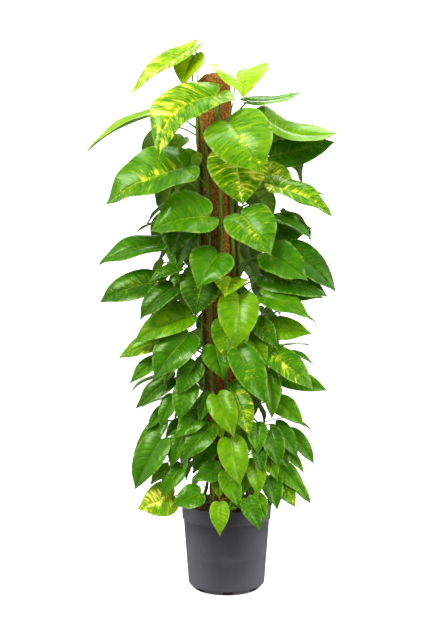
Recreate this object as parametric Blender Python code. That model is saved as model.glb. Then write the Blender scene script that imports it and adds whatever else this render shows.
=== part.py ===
"""Climbing golden pothos on a coir pole, in a nursery pot.

The vines are planted round the pole and climb it, small leaves below and large ones at the top.
The origin is the middle of the pot's underside, +Z is up and the plant's best side faces -Y.
"""

import math
import random
from typing import NamedTuple

import bmesh
import bpy
from mathutils import Matrix, Vector
from mathutils.bvhtree import BVHTree
from mathutils.geometry import interpolate_bezier

CM = 0.01
UP = Vector((0, 0, 1))
SEAT_GAP = 0.0003  # running clearance between two solids that touch

# Pot, in metres
POT_SIDES = 32
POT_HEIGHT = 0.248
RIM_RADIUS = 0.1365
COLLAR_RADIUS = 0.132
COLLAR_BOTTOM = 0.204
WALL_TOP_RADIUS = 0.1285
WALL_FOOT_RADIUS = 0.1135
FOOT_HEIGHT = 0.015
FOOT_RADIUS = 0.099
POT_WALL = 0.0022
DRAIN_COUNT = 8
DRAIN_SIZE = (0.030, 0.019, 0.009)
DRAIN_TURN = math.radians(2)

DRAIN_BOTTOM = 0.003
RIM_ROLL = 0.004

# Soil
SOIL_EDGE_HEIGHT = 0.229
SOIL_MIDDLE_HEIGHT = 0.240
SOIL_MOUND_RADII = (0.105, 0.085)
SOIL_STEP = 0.002
SOIL_RIPPLE = 0.002

# Coir pole and the wooden stake inside it
POLE_SIDES = 24
POLE_RADIUS = 0.0500
POLE_TOP = 1.503
POLE_CROWN = 0.032
POLE_LEAN = math.radians(-1.65)
SLEEVE_FOOT = 0.150
POLE_FOOT = 0.020
STAKE_RADIUS = 0.016
STAKE_TOP = 1.440
STAKE_POINT = (0.010, 0.012)  # radius and height of the cut foot

# Vines
STEM_SIDES = 5
STEM_HOLE_SIDES = 8
STEM_RADIUS_FOOT = 0.0042
STEM_RADIUS_TOP = 0.0060
STEM_FOOT = 0.170
STEM_STAND = 0.074
STEM_MEETS_POLE = 0.315
STEM_STEP = 0.11
STEM_WANDER = math.radians(5)
# Where each vine stands round the pole, in degrees from the front towards +X, and how high it climbs in cm
VINES = (
    (8, 143), (43, 139), (78, 136), (114, 128), (150, 134),
    (186, 126), (222, 137), (256, 129), (290, 146), (328, 133),
)

# Leaves
SEED = 11
BLADE_THICKNESS = 0.0010
LEAF_ARCH = 0.07
TURN_TO_SIDE = 0.5  # share of its bearing from the pole by which a listed leaf faces sideways
LARGE_LEAF = 0.165
SMALL_LEAF = 0.105
CLEAR = 0.0008  # by how much shapes are thickened while they are tested against each other

# Leaf stalks
PETIOLE_SIDES = 3
PETIOLE_RADIUS = 0.0019
PETIOLE_TAPER = (1.3, 0.9)
PETIOLE_SWELL = (0.72, 1.3)  # least and greatest thickness, as a share of a middling leaf's
MIDDLING_LEAF = 0.13
NECK_HALF_WIDTH = 0.0013
NECK_CORNERS = (30, 150, 270)
LONG_PETIOLE = 0.09
# How far below its blade a stalk may leave the stem, the most natural first
PETIOLE_DROPS = (0.045, 0.028, 0.062, 0.012, 0.08, -0.004, 0.10, -0.025, 0.12, 0.145, 0.18)
LONGEST_DROP = 0.27
WIDEST_TURN = math.radians(100)
ROOT_CHOICES = 45
RANK_TURN = math.radians(7.6)  # a less natural drop counts as much as this much turning round the pole
NO_VINE = -1
# Outline of half a blade, from its back lobe to its tip, as (share of the length, share of the width)
OUTLINES = (
    (((-0.10, 0.17), (-0.03, 0.40), (0.20, 0.50), (0.55, 0.45), (0.83, 0.22)), (0.0, 0.20, 0.50, 0.80)),
    (((-0.10, 0.20), (0.06, 0.47), (0.42, 0.48), (0.77, 0.24)), (0.0, 0.32, 0.70)),
    (((-0.08, 0.26), (0.24, 0.50), (0.68, 0.31)), (0.0, 0.46)),
)
# Ways to move a leaf that would cross another: pushed out, in metres, and tipped up, in degrees
MOVES = (
    (0, 0), (0.005, 0), (-0.005, 0), (0, 12), (0, -12), (0.010, 0), (-0.010, 0), (0.008, 12), (-0.008, 12),
    (0.008, -12), (-0.008, -12), (0.016, 0), (-0.016, 0), (0, 24), (0, -24), (0.016, 20), (-0.016, 20),
    (0.016, -20), (-0.016, -20), (0.024, 0), (-0.024, 0), (0.024, 20), (-0.024, -20), (0.030, 0), (-0.030, 0),
    (0.024, -20), (-0.024, 20), (0.038, 0), (-0.038, 0), (0.034, 16), (-0.034, -16), (0.046, 0), (-0.046, 0),
)
# The planting list is laid out on an upright plane in front of the pole, seen from one standing point
VIEW_DISTANCE = 2.60
VIEW_HEIGHT = 0.80
VIEW_PLANE = 0.14

# Leaves of the sides and the back, which grow by rule
FILLER_FROM = 30
FILLER_ASIDE = 60
FILLER_BEHIND = 100
FILLER_LOWEST = 31
FILLER_STEP_ASIDE = 10.0
FILLER_STEP = 8.8
FILLER_STEP_BEHIND = 7.0
ASIDE_SHIFT = 14  # how much further from the front those of the nearer vines hang, in degrees
ASIDE_FACE = math.radians(32)
FILLER_OVER_TOP = 9
FILLER_SIDE_TOP = 114  # the vines at the sides leave the crown to the listed leaves


class Leaf(NamedTuple):
    """One leaf as it hangs, in cm and degrees.

    x, z: where the petiole joins the blade, across the front and above the floor; tip_x, tip_z: the tip;
    width: across the blade; out: how far in front of the pot's axis the joint is, and lean: how much
    further out the tip is; face: how far the upper side is turned up from facing straight out;
    fold: the V of the two halves; bend and arch: how far the midrib curves sideways and up, in blade lengths.
    """

    x: float
    z: float
    tip_x: float
    tip_z: float
    width: float
    out: float
    lean: float
    face: float
    fold: float = 10
    bend: float = 0
    arch: float = LEAF_ARCH


CROWN_LEAVES = (
    Leaf(-2.6, 143.2, -19.6, 125.8, 14.5, 16, 6, 30, 12, 0.20),
    Leaf(0.6, 135.4, 9.8, 121.2, 18.5, 17, 6, 14, 8),
    Leaf(-11.6, 122.8, -34.9, 113.0, 17.5, 13, 3, 28, 14),
    Leaf(-5.2, 108.9, -21.6, 105.5, 16.0, 15, 3, 32, 20),
    Leaf(4.2, 109.3, 12.7, 98.2, 14.5, 15, 5, 22),
    Leaf(2.2, 127.0, 4.7, 112.2, 17.0, 12, 4, 12),
    Leaf(-9.5, 157.2, -28.0, 144.8, 12.0, 4, 3, 52, 8, 0, 0.01),
    Leaf(-16.6, 138.8, -41.3, 127.3, 12.0, 5, 2, 63, 14, 0, 0.05),
    Leaf(2.8, 149.4, 4.9, 142.8, 17.0, 6, 9, 46, 24),
    Leaf(6.0, 141.8, 22.8, 145.0, 8.5, 8, 1, 56, 4, 0, -0.08),
    Leaf(10.6, 137.3, 32.4, 133.8, 12.5, 8, 0, 47, 8, 0, -0.17),
    Leaf(13.0, 126.2, 31.0, 130.4, 9.0, 3, 0, 15, 4, 0, -0.05),
    Leaf(11.0, 121.8, 19.8, 117.4, 8.5, 9, 1, 25),
    Leaf(12.8, 117.4, 29.8, 109.1, 9.5, 12, 2, 40),
    Leaf(12.0, 115.6, 30.2, 114.6, 7.5, 5, -2, 84),
    Leaf(-9.5, 126.5, -14.6, 115.6, 8.0, 6, 1, 12),
    Leaf(-8.2, 153.6, -11.2, 144.6, 9.5, 0, 3, 16),
    Leaf(-12.1, 131.3, -15.7, 126.6, 6.5, -2, 1, 20),
)

MIDDLE_LEAVES = (
    Leaf(-12.5, 107.8, -15.8, 97.8, 11.0, 10, 4, 5),
    Leaf(-19.3, 101.0, -36.8, 95.5, 9.5, 6, 2, 36),
    Leaf(-18.5, 107.4, -26.5, 103.7, 5.0, -4, -1, 85),
    Leaf(-2.5, 98.2, -8.3, 88.6, 12.5, 17, 5, 20, 8),
    Leaf(1.5, 91.3, -0.4, 86.2, 10.0, 13, 7, 46),
    Leaf(11.5, 98.5, 23.2, 91.0, 11.5, 12, 2, 18),
    Leaf(17.5, 99.5, 31.4, 87.5, 10.0, 8, 1, 22),
    Leaf(14.0, 108.2, 25.3, 101.8, 5.5, 8, 1, 55),
    Leaf(12.8, 105.0, 24.2, 105.6, 10.0, 4, 0, 12),
    Leaf(-11.5, 98.4, -17.0, 95.3, 4.5, 8, 1, 40),
    Leaf(-13.5, 94.2, -22.3, 90.3, 5.5, 14, 2, 48),
    Leaf(-20.2, 90.2, -36.3, 84.8, 10.5, 8, 1, 28),
    Leaf(-15.5, 88.5, -25.0, 79.6, 8.0, 14, 2, 30),
    Leaf(-12.8, 91.6, -17.8, 82.5, 6.0, 11, 2, 18),
    Leaf(-6.5, 91.5, -9.0, 80.5, 12.0, 13, 3, 15),
    Leaf(3.6, 86.2, 2.6, 71.5, 11.5, 15, 4, 12),
    Leaf(1.2, 79.2, 0.4, 67.2, 11.0, 12, 4, 14),
    Leaf(-3.2, 72.0, -0.9, 62.5, 9.0, 12, 4, 15),
    Leaf(3.2, 70.5, 10.5, 56.0, 9.0, 15, 4, 22),
    Leaf(5.5, 75.5, 11.7, 66.5, 7.5, 12, 3, 18),
    Leaf(8.2, 79.0, 14.7, 71.2, 6.5, 12, 2, 24),
    Leaf(12.2, 77.0, 24.5, 75.8, 7.5, 9, 2, 18),
    Leaf(10.5, 86.2, 24.2, 80.2, 8.0, 12, 2, 34),
    Leaf(10.8, 92.0, 29.2, 86.6, 10.5, 8, 1, 24),
    Leaf(15.5, 88.0, 27.8, 86.0, 6.5, 3, 0, 18),
    Leaf(14.5, 82.0, 27.4, 78.0, 6.0, 3, 0, 74),
    Leaf(9.2, 80.6, 15.0, 81.0, 4.0, -5, 0, 84),
    Leaf(13.0, 71.4, 25.8, 72.2, 5.0, 2, 0, 86),
    Leaf(12.2, 70.0, 24.9, 59.8, 9.0, 12, 2, 28),
    Leaf(15.5, 63.4, 28.8, 59.6, 6.5, 6, 1, 14),
    Leaf(17.5, 70.2, 25.6, 66.6, 4.5, 4, 0, 60),
    Leaf(-13.5, 83.2, -23.6, 78.0, 6.0, 8, 1, 34),
    Leaf(-10.5, 80.6, -26.2, 73.4, 9.5, 10, 2, 28),
    Leaf(-17.0, 74.0, -31.0, 68.8, 7.5, 7, 1, 28),
    Leaf(-11.0, 74.8, -20.9, 62.8, 11.5, 13, 3, 18),
    Leaf(-19.5, 68.2, -27.8, 61.5, 5.5, 7, 1, 18),
    Leaf(-15.2, 63.0, -26.0, 54.3, 6.5, 9, 1, 24),
    Leaf(-19.5, 63.4, -27.8, 59.0, 4.0, 3, 0, 74),
)

SKIRT_LEAVES = (
    Leaf(-10.5, 61.0, -13.8, 50.8, 7.5, 14, 3, 14),
    Leaf(-8.0, 67.0, -13.2, 58.3, 7.5, 11, 2, 14),
    Leaf(-15.2, 57.5, -25.2, 54.2, 4.0, 4, 0, 86),
    Leaf(-15.0, 57.5, -19.1, 49.0, 5.5, 11, 2, 14),
    Leaf(-17.5, 54.5, -22.8, 47.8, 4.0, 7, 1, 14),
    Leaf(-5.0, 58.6, -7.9, 50.0, 4.5, 13, 2, 14),
    Leaf(-2.5, 57.8, 2.2, 46.3, 8.0, 15, 4, 18),
    Leaf(2.5, 58.2, 6.8, 46.6, 7.5, 14, 4, 18),
    Leaf(1.8, 61.2, 7.4, 55.5, 5.0, 12, 2, 20),
    Leaf(12.0, 64.5, 13.0, 51.3, 6.0, 12, 3, 10),
    Leaf(14.0, 56.5, 22.2, 49.3, 7.0, 9, 2, 18),
    Leaf(-7.5, 52.3, -14.9, 45.8, 7.0, 13, 3, 24),
    Leaf(-5.0, 48.8, -12.6, 39.5, 7.5, 14, 3, 18),
    Leaf(-12.5, 46.5, -16.1, 37.3, 6.0, 12, 2, 14),
    Leaf(-2.5, 51.0, -1.3, 45.6, 4.5, 11, 2, 10),
    Leaf(1.0, 45.3, 3.9, 32.4, 8.5, 15, 4, 18),
    Leaf(8.5, 50.0, 8.8, 41.0, 6.0, 13, 3, 14),
    Leaf(12.5, 47.8, 15.3, 37.3, 7.0, 13, 3, 18),
    Leaf(14.0, 49.6, 20.6, 40.2, 6.0, 10, 2, 18),
    Leaf(18.0, 47.5, 25.2, 38.4, 5.5, 6, 1, 18),
    Leaf(-18.5, 50.5, -26.8, 35.8, 6.0, 7, 1, 14),
    Leaf(-18.0, 45.5, -25.5, 31.6, 9.5, 10, 2, 18),
    Leaf(-16.5, 38.0, -22.0, 32.4, 4.0, 6, 1, 18),
    Leaf(-13.0, 37.8, -18.8, 29.0, 6.0, 12, 2, 18),
    Leaf(-15.2, 29.5, -25.5, 25.8, 10.0, 11, 2, 8, 6),
    Leaf(-7.5, 30.3, -15.9, 26.4, 7.5, 15, 2, 30),
    Leaf(-1.8, 37.3, -9.9, 33.8, 6.5, 13, 3, 24),
    Leaf(-4.5, 44.5, -9.7, 35.8, 6.5, 10, 2, 14),
    Leaf(-2.2, 36.4, -2.0, 28.6, 5.5, 12, 2, 14),
    Leaf(-0.2, 36.2, 3.9, 26.2, 6.0, 13, 3, 24),
    Leaf(5.8, 37.0, 4.8, 29.5, 4.0, 14, 2, 14),
    Leaf(8.0, 39.5, 9.0, 29.0, 6.0, 14, 3, 18),
    Leaf(8.3, 43.6, 9.8, 36.3, 4.5, 12, 2, 14),
    Leaf(11.0, 40.8, 14.7, 33.8, 5.0, 12, 2, 18),
    Leaf(12.0, 35.0, 14.5, 25.4, 6.5, 11, 3, 22),
    Leaf(15.0, 38.0, 22.8, 29.6, 6.0, 8, 1, 18),
    Leaf(15.5, 32.5, 19.7, 26.2, 5.5, 9, 2, 14),
    Leaf(19.0, 33.5, 24.3, 26.9, 4.0, 4, 0, 18),
    Leaf(7.6, 29.6, 11.7, 22.5, 5.5, 15, 2, 28),
    Leaf(5.8, 28.6, 9.6, 19.8, 5.5, 16, 2, 20),
    Leaf(-2.0, 27.3, -1.9, 18.0, 5.6, 17, 2, 22),
    Leaf(3.2, 28.0, 0.3, 25.4, 3.0, 14, 1, 30),
    Leaf(17.0, 42.0, 22.3, 35.8, 3.5, 5, 0, 30),
    Leaf(14.5, 43.5, 17.6, 37.2, 4.5, 10, 2, 14),
    Leaf(4.5, 50.0, 6.8, 41.8, 6.0, 11, 2, 10),
    Leaf(-13.0, 50.6, -17.6, 45.8, 4.0, 9, 1, 14),
    Leaf(17.0, 52.0, 24.8, 47.7, 3.5, 5, 0, 70),
)


def clear_scene() -> None:
    """Remove what the startup scene holds."""
    for obj in list(bpy.data.objects):
        bpy.data.objects.remove(obj)


def material(name: str, color: tuple[float, float, float], roughness: float) -> bpy.types.Material:
    """A plain Principled material."""
    made = bpy.data.materials.new(name)
    made.use_nodes = True
    shader = made.node_tree.nodes["Principled BSDF"]
    shader.inputs["Base Color"].default_value = (*color, 1)
    shader.inputs["Roughness"].default_value = roughness
    made.diffuse_color = (*color, 1)
    return made


def object_from(name: str, shape: bmesh.types.BMesh, finish: bpy.types.Material | None = None):
    """Link a new object that holds this bmesh."""
    mesh = bpy.data.meshes.new(name)
    shape.to_mesh(mesh)
    shape.free()
    obj = bpy.data.objects.new(name, mesh)
    bpy.context.scene.collection.objects.link(obj)
    if finish:
        mesh.materials.append(finish)
    return obj


def turned(name: str, profile, sides: int, finish=None):
    """Spin a closed profile of (radius, height) points, whose ends lie on the axis, about Z."""
    shape = bmesh.new()
    points = [shape.verts.new((radius, 0, height)) for radius, height in profile]
    edges = [shape.edges.new(pair) for pair in zip(points, points[1:])]
    bmesh.ops.spin(
        shape, geom=points + edges, axis=UP, cent=Vector(), steps=sides, angle=math.tau, use_merge=True
    )
    bmesh.ops.remove_doubles(shape, verts=shape.verts, dist=1e-5)
    bmesh.ops.recalc_face_normals(shape, faces=shape.faces)
    return object_from(name, shape, finish)


def combine(obj, other, operation: str) -> None:
    """Apply a Boolean of another object, or of a collection of them, and remove what it used."""
    cut = obj.modifiers.new(operation.title(), "BOOLEAN")
    cut.operation = operation
    if isinstance(other, bpy.types.Collection):
        cut.operand_type = "COLLECTION"
        cut.collection = other
        cut.solver = "MANIFOLD"
        used = list(other.objects)
    else:
        cut.object = other
        used = [other]
    with bpy.context.temp_override(object=obj, active_object=obj):
        bpy.ops.object.modifier_apply(modifier=cut.name)
    for item in used:
        bpy.data.objects.remove(item)


class Blade(NamedTuple):
    """Where one blade hangs, in metres: its joint with the petiole, its tip and the way it faces."""

    base: Vector
    tip: Vector
    normal: Vector
    width: float
    fold: float
    bend: float
    arch: float


class Solid(NamedTuple):
    """A finished shape with its box and search tree, kept to see what a new leaf would touch."""

    vine: int
    tree: BVHTree
    low: Vector
    high: Vector


def blend(start: float, end: float, share: float) -> float:
    """The value this share of the way from start to end."""
    return start + (end - start) * share


def outward(angle: float) -> Vector:
    """The level direction at this angle from the front towards +X."""
    return Vector((math.sin(angle), -math.cos(angle), 0))


def pole_axis(height: float) -> Vector:
    """The middle of the leaning pole at this height."""
    return Vector((math.tan(POLE_LEAN) * (height - SOIL_MIDDLE_HEIGHT), 0, height))


def build_pot(finish) -> None:
    """The thin nursery pot: a chamfered foot, a tapering wall and a collar with a rolled rim."""
    wall = POT_WALL
    profile = (
        (0, 0), (FOOT_RADIUS, 0), (WALL_FOOT_RADIUS, FOOT_HEIGHT),
        (WALL_TOP_RADIUS, COLLAR_BOTTOM), (COLLAR_RADIUS, COLLAR_BOTTOM + 0.001),
        (RIM_RADIUS - wall / 2, POT_HEIGHT - 1.3 * RIM_ROLL), (RIM_RADIUS, POT_HEIGHT - RIM_ROLL),
        (RIM_RADIUS, POT_HEIGHT - wall / 2), (RIM_RADIUS - wall / 2, POT_HEIGHT),
        (RIM_RADIUS - RIM_ROLL, POT_HEIGHT), (COLLAR_RADIUS - wall, COLLAR_BOTTOM + 3 * wall),
        (WALL_TOP_RADIUS - wall, COLLAR_BOTTOM), (WALL_FOOT_RADIUS - wall, FOOT_HEIGHT + 0.001),
        (FOOT_RADIUS - 0.001, wall), (0, wall),
    )
    pot = turned("pot", profile, POT_SIDES, finish)
    slots = bmesh.new()
    for number in range(DRAIN_COUNT):
        angle = math.tau * number / DRAIN_COUNT + DRAIN_TURN
        spot = outward(angle) * (FOOT_RADIUS + WALL_FOOT_RADIUS) / 2
        place = Matrix.Translation(spot + UP * (DRAIN_SIZE[2] / 2 + DRAIN_BOTTOM))
        size = Matrix.Diagonal((*DRAIN_SIZE, 1))
        bmesh.ops.create_cube(slots, size=1, matrix=place @ Matrix.Rotation(angle, 4, "Z") @ size)
    combine(pot, object_from("drain slots", slots), "DIFFERENCE")


def build_soil(finish, feet) -> None:
    """The potting mix, filling the pot to below its rim, with plain holes for the pole and the stems."""
    inset = POT_WALL + SEAT_GAP
    shoulder, brow = SOIL_MOUND_RADII
    slope = (COLLAR_RADIUS - WALL_TOP_RADIUS) * 0.35
    profile = (
        (0, inset), (FOOT_RADIUS - inset / 2, inset), (WALL_FOOT_RADIUS - inset, FOOT_HEIGHT + 0.001),
        (WALL_TOP_RADIUS - inset, COLLAR_BOTTOM), (WALL_TOP_RADIUS - inset + slope, SOIL_EDGE_HEIGHT),
        (shoulder, SOIL_EDGE_HEIGHT + SOIL_STEP), (brow, SOIL_MIDDLE_HEIGHT - SOIL_STEP),
        (0, SOIL_MIDDLE_HEIGHT),
    )
    soil = turned("soil", profile, POT_SIDES, finish)
    rng = random.Random(SEED)
    for vertex in soil.data.vertices:
        if vertex.co.z > SOIL_EDGE_HEIGHT and vertex.co.xy.length > POLE_RADIUS:
            vertex.co.z += rng.uniform(-SOIL_RIPPLE, SOIL_RIPPLE)
    ledge, above, bore = SLEEVE_FOOT - SEAT_GAP, 2 * SOIL_MIDDLE_HEIGHT, POLE_RADIUS + SEAT_GAP
    socket = (
        (0, POLE_FOOT - SEAT_GAP), (STAKE_RADIUS + SEAT_GAP, POLE_FOOT - SEAT_GAP),
        (STAKE_RADIUS + SEAT_GAP, ledge), (bore, ledge), (bore, above), (0, above),
    )
    hole = turned("pole hole", socket, POLE_SIDES)
    lean_with_pole(hole)
    combine(soil, hole, "DIFFERENCE")
    holes = bmesh.new()
    sides = STEM_HOLE_SIDES
    size = (STEM_RADIUS_FOOT + SEAT_GAP) / math.cos(math.pi / sides)
    depth = above - STEM_FOOT
    for foot in feet:
        place = Matrix.Translation((foot.x, foot.y, STEM_FOOT - SEAT_GAP + depth / 2))
        bmesh.ops.create_cone(
            holes, cap_ends=True, segments=sides, radius1=size, radius2=size, depth=depth, matrix=place
        )
    combine(soil, object_from("stem holes", holes), "DIFFERENCE")


def lean_with_pole(obj) -> None:
    """Tilt an upright turned piece with the pole, about the top of the soil."""
    pivot = Matrix.Translation(UP * SOIL_MIDDLE_HEIGHT)
    obj.data.transform(pivot @ Matrix.Rotation(POLE_LEAN, 4, "Y") @ pivot.inverted())


def build_pole(coir, wood):
    """The coir sleeve with its domed top, and the stake inside that stands in the soil."""
    bore = STAKE_RADIUS + SEAT_GAP
    dome = [
        (POLE_RADIUS * math.cos(turn), POLE_TOP + POLE_CROWN * math.sin(turn))
        for turn in (math.radians(angle) for angle in range(0, 90, 18))
    ]
    sleeve_profile = [
        (0, STAKE_TOP + SEAT_GAP), (bore, STAKE_TOP + SEAT_GAP), (bore, SLEEVE_FOOT),
        (POLE_RADIUS, SLEEVE_FOOT), *dome, (0, POLE_TOP + POLE_CROWN),
    ]
    sleeve = turned("coir_sleeve", sleeve_profile, POLE_SIDES, coir)
    stake_profile = (
        (0, POLE_FOOT), (STAKE_POINT[0], POLE_FOOT), (STAKE_RADIUS, POLE_FOOT + STAKE_POINT[1]),
        (STAKE_RADIUS, STAKE_TOP), (0, STAKE_TOP),
    )
    stake = turned("pole_stake", stake_profile, POLE_SIDES, wood)
    for piece in (sleeve, stake):
        lean_with_pole(piece)
    return sleeve, stake


def tube(points, radii, sides: int) -> bmesh.types.BMesh:
    """A closed tube of few sides along a line of points."""
    shape = bmesh.new()
    rings = []
    side = Vector((1, 0, 0))
    for index, (point, radius) in enumerate(zip(points, radii)):
        along = (points[min(index + 1, len(points) - 1)] - points[max(index - 1, 0)]).normalized()
        side = (side - along * side.dot(along)).normalized()
        other = along.cross(side)
        ring = []
        for number in range(sides):
            turn = math.tau * number / sides
            ring.append(shape.verts.new(point + (side * math.cos(turn) + other * math.sin(turn)) * radius))
        rings.append(ring)
    for lower, upper in zip(rings, rings[1:]):
        for number in range(sides):
            after = (number + 1) % sides
            shape.faces.new((lower[number], lower[after], upper[after], upper[number]))
    shape.faces.new(reversed(rings[0]))
    shape.faces.new(rings[-1])
    return shape


def stem_line(angle: float, top: float, rng: random.Random) -> list[Vector]:
    """The middle line of one vine: upright in the soil, then in to the pole and up it."""
    line = []
    for level in (STEM_FOOT, SOIL_MIDDLE_HEIGHT + STEM_RADIUS_FOOT * 2):
        line.append(outward(angle) * STEM_STAND + UP * level)
    radius = POLE_RADIUS + STEM_RADIUS_TOP + 3 * SEAT_GAP
    steps = round((top - STEM_MEETS_POLE) / STEM_STEP)
    for index in range(steps + 1):
        level = STEM_MEETS_POLE + (top - STEM_MEETS_POLE) * index / steps
        turn = angle + rng.uniform(-STEM_WANDER, STEM_WANDER)
        line.append(pole_axis(level) + outward(turn) * radius)
    return line


def on_line(line: list[Vector], height: float) -> Vector:
    """The point of a stem's middle line at this height."""
    for lower, upper in zip(line, line[1:]):
        if height <= upper.z:
            break
    share = (height - lower.z) / (upper.z - lower.z)
    return lower.lerp(upper, min(max(share, 0), 1))


def at_depth(across: float, depth: float, up: float) -> Vector:
    """A point of the planting list, carried along the line of sight to its own depth in the plant."""
    ratio = (VIEW_DISTANCE - depth) / (VIEW_DISTANCE - VIEW_PLANE)
    return Vector((across * ratio, -depth, VIEW_HEIGHT + (up - VIEW_HEIGHT) * ratio))


def listed_blade(leaf: Leaf) -> Blade:
    """Turn one line of the planting list into a blade in metres."""
    base = at_depth(leaf.x * CM, leaf.out * CM, leaf.z * CM)
    tip = at_depth(leaf.tip_x * CM, (leaf.out + leaf.lean) * CM, leaf.tip_z * CM)
    bearing = math.atan2(base.x + tip.x, 2 * (VIEW_PLANE + leaf.out * CM))
    turn = TURN_TO_SIDE * bearing
    up = math.radians(leaf.face)
    normal = outward(turn) * math.cos(up) + UP * math.sin(up)
    return Blade(base, tip, normal, leaf.width * CM, math.radians(leaf.fold), leaf.bend, leaf.arch)


def filler_blades(rng: random.Random) -> list[Blade]:
    """Leaves of the sides and the back: at each node a little larger, higher and more drooping."""
    blades = []
    for angle, top in VINES:
        bearing = abs((angle + 180) % 360 - 180)
        if bearing < FILLER_FROM:
            continue
        behind = bearing > FILLER_BEHIND
        aside = (1 if angle < 180 else -1) * (bearing < FILLER_ASIDE)
        step = FILLER_STEP_BEHIND if behind else FILLER_STEP_ASIDE if aside else FILLER_STEP
        height = FILLER_LOWEST + rng.uniform(0, step)
        side = rng.choice((-1, 1))
        ceiling = top + FILLER_OVER_TOP if behind else min(top, FILLER_SIDE_TOP)
        while height < ceiling:
            blades.append(filler_blade(angle + aside * ASIDE_SHIFT, height, side, aside * ASIDE_FACE, rng))
            height += step * rng.uniform(0.85, 1.2)
            side = -side
    return blades


def filler_blade(angle: float, height: float, side: int, face_turn: float, rng: random.Random) -> Blade:
    """One leaf at a node of a vine: its size, reach and droop follow its height, in cm."""
    growth = height / (POLE_TOP / CM)
    turn = math.radians(angle + side * rng.uniform(4, 22))
    reach = (8.0 + 5.5 * growth + rng.uniform(-1.2, 2.8)) * CM
    size = (8.0 + 9.0 * growth**1.5) * rng.uniform(0.85, 1.12) * CM
    droop = math.radians(rng.uniform(38, 78))
    base = pole_axis(height * CM) + outward(turn) * reach
    swing = outward(turn + side * rng.uniform(0.1, 0.6))
    tip = base + (swing * math.cos(droop) - UP * math.sin(droop)) * size
    face = math.radians(rng.uniform(15, 42))
    bearing = turn + face_turn + rng.uniform(-0.3, 0.3)
    normal = outward(bearing) * math.cos(face) + UP * math.sin(face)
    width = size * (0.66 + 0.20 * growth)
    return Blade(base, tip, normal, width, math.radians(rng.uniform(4, 16)), 0, LEAF_ARCH)


def outline_of(blade: Blade):
    """The half outline and the midrib points of a blade: the smaller it is, the fewer."""
    length = (blade.tip - blade.base).length
    if length >= LARGE_LEAF:
        return OUTLINES[0]
    return OUTLINES[1] if length >= SMALL_LEAF else OUTLINES[2]


def blade_axes(blade: Blade) -> tuple[float, Vector, Vector, Vector]:
    """Length of a blade, and its directions along the midrib, across it and out of its upper face."""
    run = blade.tip - blade.base
    along = run.normalized()
    normal = (blade.normal - along * blade.normal.dot(along)).normalized()
    return run.length, along, along.cross(normal), normal


def blade_point(blade: Blade, share: float, out: float) -> Vector:
    """A point of the arched and folded blade, at these shares of its length and its width."""
    length, along, across, normal = blade_axes(blade)
    arch = 4 * max(share, 0) * (1 - share) * length
    side = out * blade.width + blade.bend * arch
    lift = blade.arch * arch + abs(out) * blade.width * math.tan(blade.fold)
    return blade.base + along * (share * length) + across * side + normal * lift


def leaf_shape(blade: Blade, stalk=(), extra: float = 0) -> bmesh.types.BMesh:
    """A heart-shaped blade as a thin closed plate, split alike on both faces, with its stalk if given."""
    outline, midrib = outline_of(blade)
    _, _, across, normal = blade_axes(blade)
    shape = bmesh.new()
    half = (BLADE_THICKNESS + extra) / 2
    borders = []
    for level in (half, -half):
        rib = [shape.verts.new(blade_point(blade, share, 0) + normal * level) for share in (*midrib, 1)]
        necks = [rib[0], rib[0]]
        if stalk and level > 0:
            rib[0].co += across * NECK_HALF_WIDTH
            necks[1] = shape.verts.new(rib[0].co - across * (2 * NECK_HALF_WIDTH))
            shape.faces.new((necks[0], necks[1], rib[1]))
        edges = []
        for neck, sign in zip(necks, (1, -1)):
            margin = [blade_point(blade, share, sign * out) for share, out in outline]
            edge = [shape.verts.new(spot + normal * level) for spot in margin]
            line = [neck, *rib[1:]]
            for index in range(len(midrib)):
                shape.faces.new((line[index], edge[index], edge[index + 1]))
                shape.faces.new((line[index], edge[index + 1], line[index + 1]))
            edges.append(edge)
        borders.append([necks[0], *edges[0], rib[-1], *reversed(edges[1]), necks[1]])
    upper, lower = borders
    for index in range(len(upper) - 1):
        shape.faces.new((upper[index], upper[index + 1], lower[index]))
        if lower[index] is not lower[index + 1]:
            shape.faces.new((upper[index + 1], lower[index + 1], lower[index]))
    if stalk:
        ring = [upper[0], upper[-1], lower[0]]
        grow_stalk(shape, ring, stalk, across, petiole_radius(blade) + extra)
    bmesh.ops.recalc_face_normals(shape, faces=shape.faces)
    return shape


def grow_stalk(shape: bmesh.types.BMesh, neck, stalk, across: Vector, radius: float) -> None:
    """Carry the three corners of a blade's neck back along the stalk to its root in the stem."""
    ring = neck
    for index in range(len(stalk) - 2, -1, -1):
        along = (stalk[index + 1] - stalk[max(index - 1, 0)]).normalized()
        across = (across - along * across.dot(along)).normalized()
        upward = across.cross(along)
        thickness = radius * blend(*PETIOLE_TAPER, index / (len(stalk) - 1))
        after = []
        for degrees in NECK_CORNERS:
            turn = math.radians(degrees)
            spot = stalk[index] + (across * math.cos(turn) + upward * math.sin(turn)) * thickness
            after.append(shape.verts.new(spot))
        for first, second in ((0, 1), (1, 2), (2, 0)):
            shape.faces.new((ring[first], ring[second], after[first]))
            shape.faces.new((ring[second], after[second], after[first]))
        ring = after
    shape.faces.new(ring)


def petiole_line(blade: Blade, root: Vector, away: Vector) -> list[Vector]:
    """The arching line of a leaf stalk from the middle of the stem into the notch of the blade."""
    _, along, _, normal = blade_axes(blade)
    span = (blade.base - root).length
    rise = root + (away * 0.27 + UP * 0.16) * span
    fall = blade.base - (along * 0.17 + normal * 0.14) * span
    count = 4 if span > LONG_PETIOLE else 3
    return interpolate_bezier(root, rise, fall, blade.base, count)


def petiole_radius(blade: Blade) -> float:
    """Stalks of larger leaves are thicker."""
    least, most = PETIOLE_SWELL
    return PETIOLE_RADIUS * min(max((blade.tip - blade.base).length / MIDDLING_LEAF, least), most)


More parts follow.
